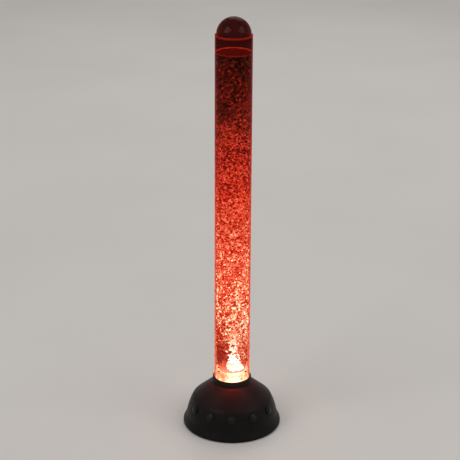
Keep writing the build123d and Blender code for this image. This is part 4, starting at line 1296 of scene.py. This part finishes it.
@dataclass
class LampStack:
    """Everything between the base's roof and the water: plug, diffuser, nozzle, lamps, sink."""

    plug_radius: float
    top: float

    def build(self) -> None:
        """Dresses the lamp stack."""
        glowing = LitPlastic(
            "diffuser_acrylic_frosted",
            middle="#FFF6DC",
            edge=((self.top - 6 * MM, "#FA7440"), (self.top, "#FA7C48")),
            over_lamp="#FFE4AE",
            reach=self.plug_radius,
            strength=1.8,
        )
        plug = LitPlastic(
            "plug_acrylic_machined",
            middle="#FFD2A0",
            edge=(
                (self.top - 20.5 * MM, "#FFA868"),
                (self.top - 17 * MM, "#FC7440"),
                (self.top - 6 * MM, "#FA6C3A"),
            ),
            over_lamp="#FFF6D4",
            reach=self.plug_radius,
            strength=1.75,
        )
        lens = LitPlastic(
            "lamp_lens_silicone",
            middle="#FF6A4A",
            edge=((0.0, "#FF6A4A"), (self.top, "#FF6A4A")),
            over_lamp="#FF6A4A",
            reach=self.plug_radius,
            strength=4.0,
        )
        dress_nodes(glowing, "diffuser_plate")
        dress_nodes(plug, "tube_plug")
        dress_nodes(lens, "led_lamps")
        dress_nodes(BLACK_RUBBER, "plug_seals", "collar_seal")
        dress_nodes(SILICONE, "diffuser_gasket", "nozzle_gasket", "riser_hose", "pump_hose")
        dress_nodes(NOZZLE_ACETAL, "bubble_nozzle", "nozzle_nut", "check_valve")
        dress_nodes(DARK_STEEL, "diffuser_screws")
        dress_nodes(ZINC_STEEL, "lamp_board_screws", "socket_screws")
        dress_nodes(LAMP_MASK, "lamp_board")
        dress_nodes(SINK_ALUMINIUM, "heat_sink")
        dress_nodes(SOCKET_NYLON, "tube_socket", "socket_pillars")


class Base:
    """The base: housing, collar, plate, feet, buttons, pump, boards and leads."""

    def build(self) -> None:
        """Dresses the base and what is in it."""
        dress_nodes(BLACK_ABS, "base_housing")
        dress_nodes(COLLAR_ABS, "collar")
        dress_nodes(PLATE_COAT, "base_plate")
        dress_nodes(BLACK_RUBBER, "rubber_feet", "cord_grommet", "pump_feet", "pump_diaphragm")
        dress_nodes(ZINC_STEEL, "base_plate_screws", "control_board_screws", "pump_cover_screws")
        dress_nodes(BEZEL_ABS, "button_bezels", "button_nuts")
        dress_nodes(BUTTON_ABS, *[f"button_{number}" for number in range(1, 6)])
        dress_nodes(SPRING_STEEL, *[f"button_spring_{number}" for number in range(1, 6)])
        dress_nodes(SWITCH_NYLON, "button_switches")
        dress_nodes(PUMP_ABS, "pump_case", "pump_cover")
        dress_nodes(PUMP_VALVE, "pump_valve_block")
        dress_nodes(ARM_STEEL, "pump_arm", "pump_pivot_pin")
        dress_nodes(MAGNET, "pump_magnet")
        dress_nodes(CORE_IRON, "pump_core")
        dress_nodes(COIL_COPPER, "pump_coil")
        dress_nodes(CONTROL_MASK, "control_board")
        dress_nodes(PART_EPOXY, "control_parts")
        dress_nodes(TERMINAL_NYLON, "terminal_block")
        dress_nodes(TERMINAL_BRASS, "terminal_screws")
        dress_nodes(LEAD_PVC, "lamp_lead", "button_leads")
        dress_nodes(PUMP_PVC, "pump_leads")


@dataclass
class Studio:
    """Pale floor, soft light, the lamp's own light on its base, and the photograph's camera."""

    camera_distance: float = 3.600
    camera_height: float = 1.970
    tilt: float = 20.99
    yaw: float = 0.122
    roll: float = 0.28
    lens: float = 109.86
    floor_half: float = 14.0
    glow_count: int = 12
    glow_power: float = 7.0
    glow_height: float = 0.19
    glow_reach: float = 58 * MM
    glow_size: float = 10 * MM
    glow_cone: float = 64.0
    glow_aim_reach: float = 66 * MM
    glow_aim_height: float = 140 * MM

    def build(self) -> None:
        """Builds floor, lights, camera and the glow round the lamp."""
        self.build_floor()
        self.build_lights()
        self.build_lamp_light()
        self.build_camera()
        self.build_glow()

    def build_floor(self) -> None:
        """Lays the pale floor."""
        half = self.floor_half
        corners = [(-half, -half, 0), (half, -half, 0), (half, half, 0), (-half, half, 0)]
        floor = piece_from("floor", corners, [[0, 1, 2, 3]])
        dress(floor, Moulded("floor_paper", "#D9D6D3", "#DEDBD8", roughness=0.85, grain=6 * MM, cloud=0.9))

    def build_lights(self) -> None:
        """Hangs three large soft boxes and sets an even sky."""
        boxes = [
            ("soft_box_left", (-3.4, -2.8, 4.0), 3.2, 60.0),
            ("soft_box_right", (3.6, -1.8, 3.6), 3.0, 40.0),
            ("soft_box_back", (0.6, 4.5, 4.5), 3.6, 60.0),
        ]
        for name, place, size, power in boxes:
            lamp = bpy.data.lights.new(name, "AREA")
            lamp.size = size
            lamp.energy = power
            box = bpy.data.objects.new(name, lamp)
            box.location = place
            aim = Vector((0, 0, 0.5)) - Vector(place)
            box.rotation_euler = aim.to_track_quat("-Z", "Y").to_euler()
            bpy.context.scene.collection.objects.link(box)
        world = bpy.data.worlds.new("studio_sky")
        world.use_nodes = True
        world.node_tree.nodes.clear()
        sky = add_node(world.node_tree, "Background", {"Color": linear("#F1EFEC"), "Strength": 0.5})
        add_node(world.node_tree, "OutputWorld", {"Surface": sky})
        bpy.context.scene.world = world

    def build_lamp_light(self) -> None:
        """Rings the tube's foot with the red light that its water throws on the housing alone."""
        base = bpy.data.collections.new("lit_by_the_water")
        base.objects.link(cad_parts["base_housing"])
        for number in range(self.glow_count):
            turn = 2 * math.pi * (number + 0.5) / self.glow_count
            lamp = bpy.data.lights.new(f"foot_glow_{number}", "SPOT")
            lamp.energy = self.glow_power / self.glow_count
            lamp.color = linear("#FF2A12")[:3]
            lamp.shadow_soft_size = self.glow_size
            lamp.spot_size = math.radians(self.glow_cone)
            lamp.spot_blend = 1.0
            glow = bpy.data.objects.new(lamp.name, lamp)
            glow.location = round_axis(turn, self.glow_reach, self.glow_height)
            aim = round_axis(turn, self.glow_aim_reach, self.glow_aim_height) - glow.location
            glow.rotation_euler = aim.to_track_quat("-Z", "Y").to_euler()
            glow.visible_camera = False
            glow.light_linking.receiver_collection = base
            bpy.context.scene.collection.objects.link(glow)

    def build_camera(self) -> None:
        """Places the camera."""
        data = bpy.data.cameras.new("camera")
        data.lens = self.lens
        data.clip_end = 60
        camera = bpy.data.objects.new("camera", data)
        turn = (
            Matrix.Rotation(math.radians(self.yaw), 4, "Z")
            @ Matrix.Rotation(math.radians(90 - self.tilt), 4, "X")
            @ Matrix.Rotation(math.radians(self.roll), 4, "Z")
        )
        camera.matrix_world = Matrix.Translation((0, -self.camera_distance, self.camera_height)) @ turn
        bpy.context.scene.collection.objects.link(camera)
        bpy.context.scene.camera = camera

    def build_glow(self) -> None:
        """Sets plain colours and lets what is brighter than white bleed a little, as a lens does."""
        scene = bpy.context.scene
        scene.view_settings.view_transform = "Standard"
        scene.cycles.transparent_max_bounces = 32
        scene.use_nodes = True
        tree = scene.node_tree
        tree.nodes.clear()
        layers = add_node(tree, "RLayers")
        glare = add_node(
            tree,
            "Glare",
            {"Image": layers, "Threshold": 1.3, "Strength": 0.15, "Size": 0.6},
            glare_type="BLOOM",
        )
        add_node(tree, "Composite", {"Image": glare})


def main() -> None:
    """Builds the studio and every sub-assembly in order, and reports each piece."""
    logging.basicConfig(level=logging.INFO, format="%(message)s", stream=sys.stdout)
    water_low, water_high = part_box("water_column")
    tube_low, tube_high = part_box("tube")
    bore = tube_high.x - TUBE_WALL
    Studio().build()
    WaterColumn(WaterLight(), foot=water_low.z, top=water_high.z, bore=bore).build()
    ClearParts(
        foot=tube_low.z,
        surface_height=water_high.z,
        rim_height=tube_high.z,
        top=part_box("dome_lid")[1].z,
    ).build()
    LampStack(plug_radius=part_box("tube_plug")[1].x, top=water_low.z).build()
    Base().build()


if __name__ == "__main__":
    main()
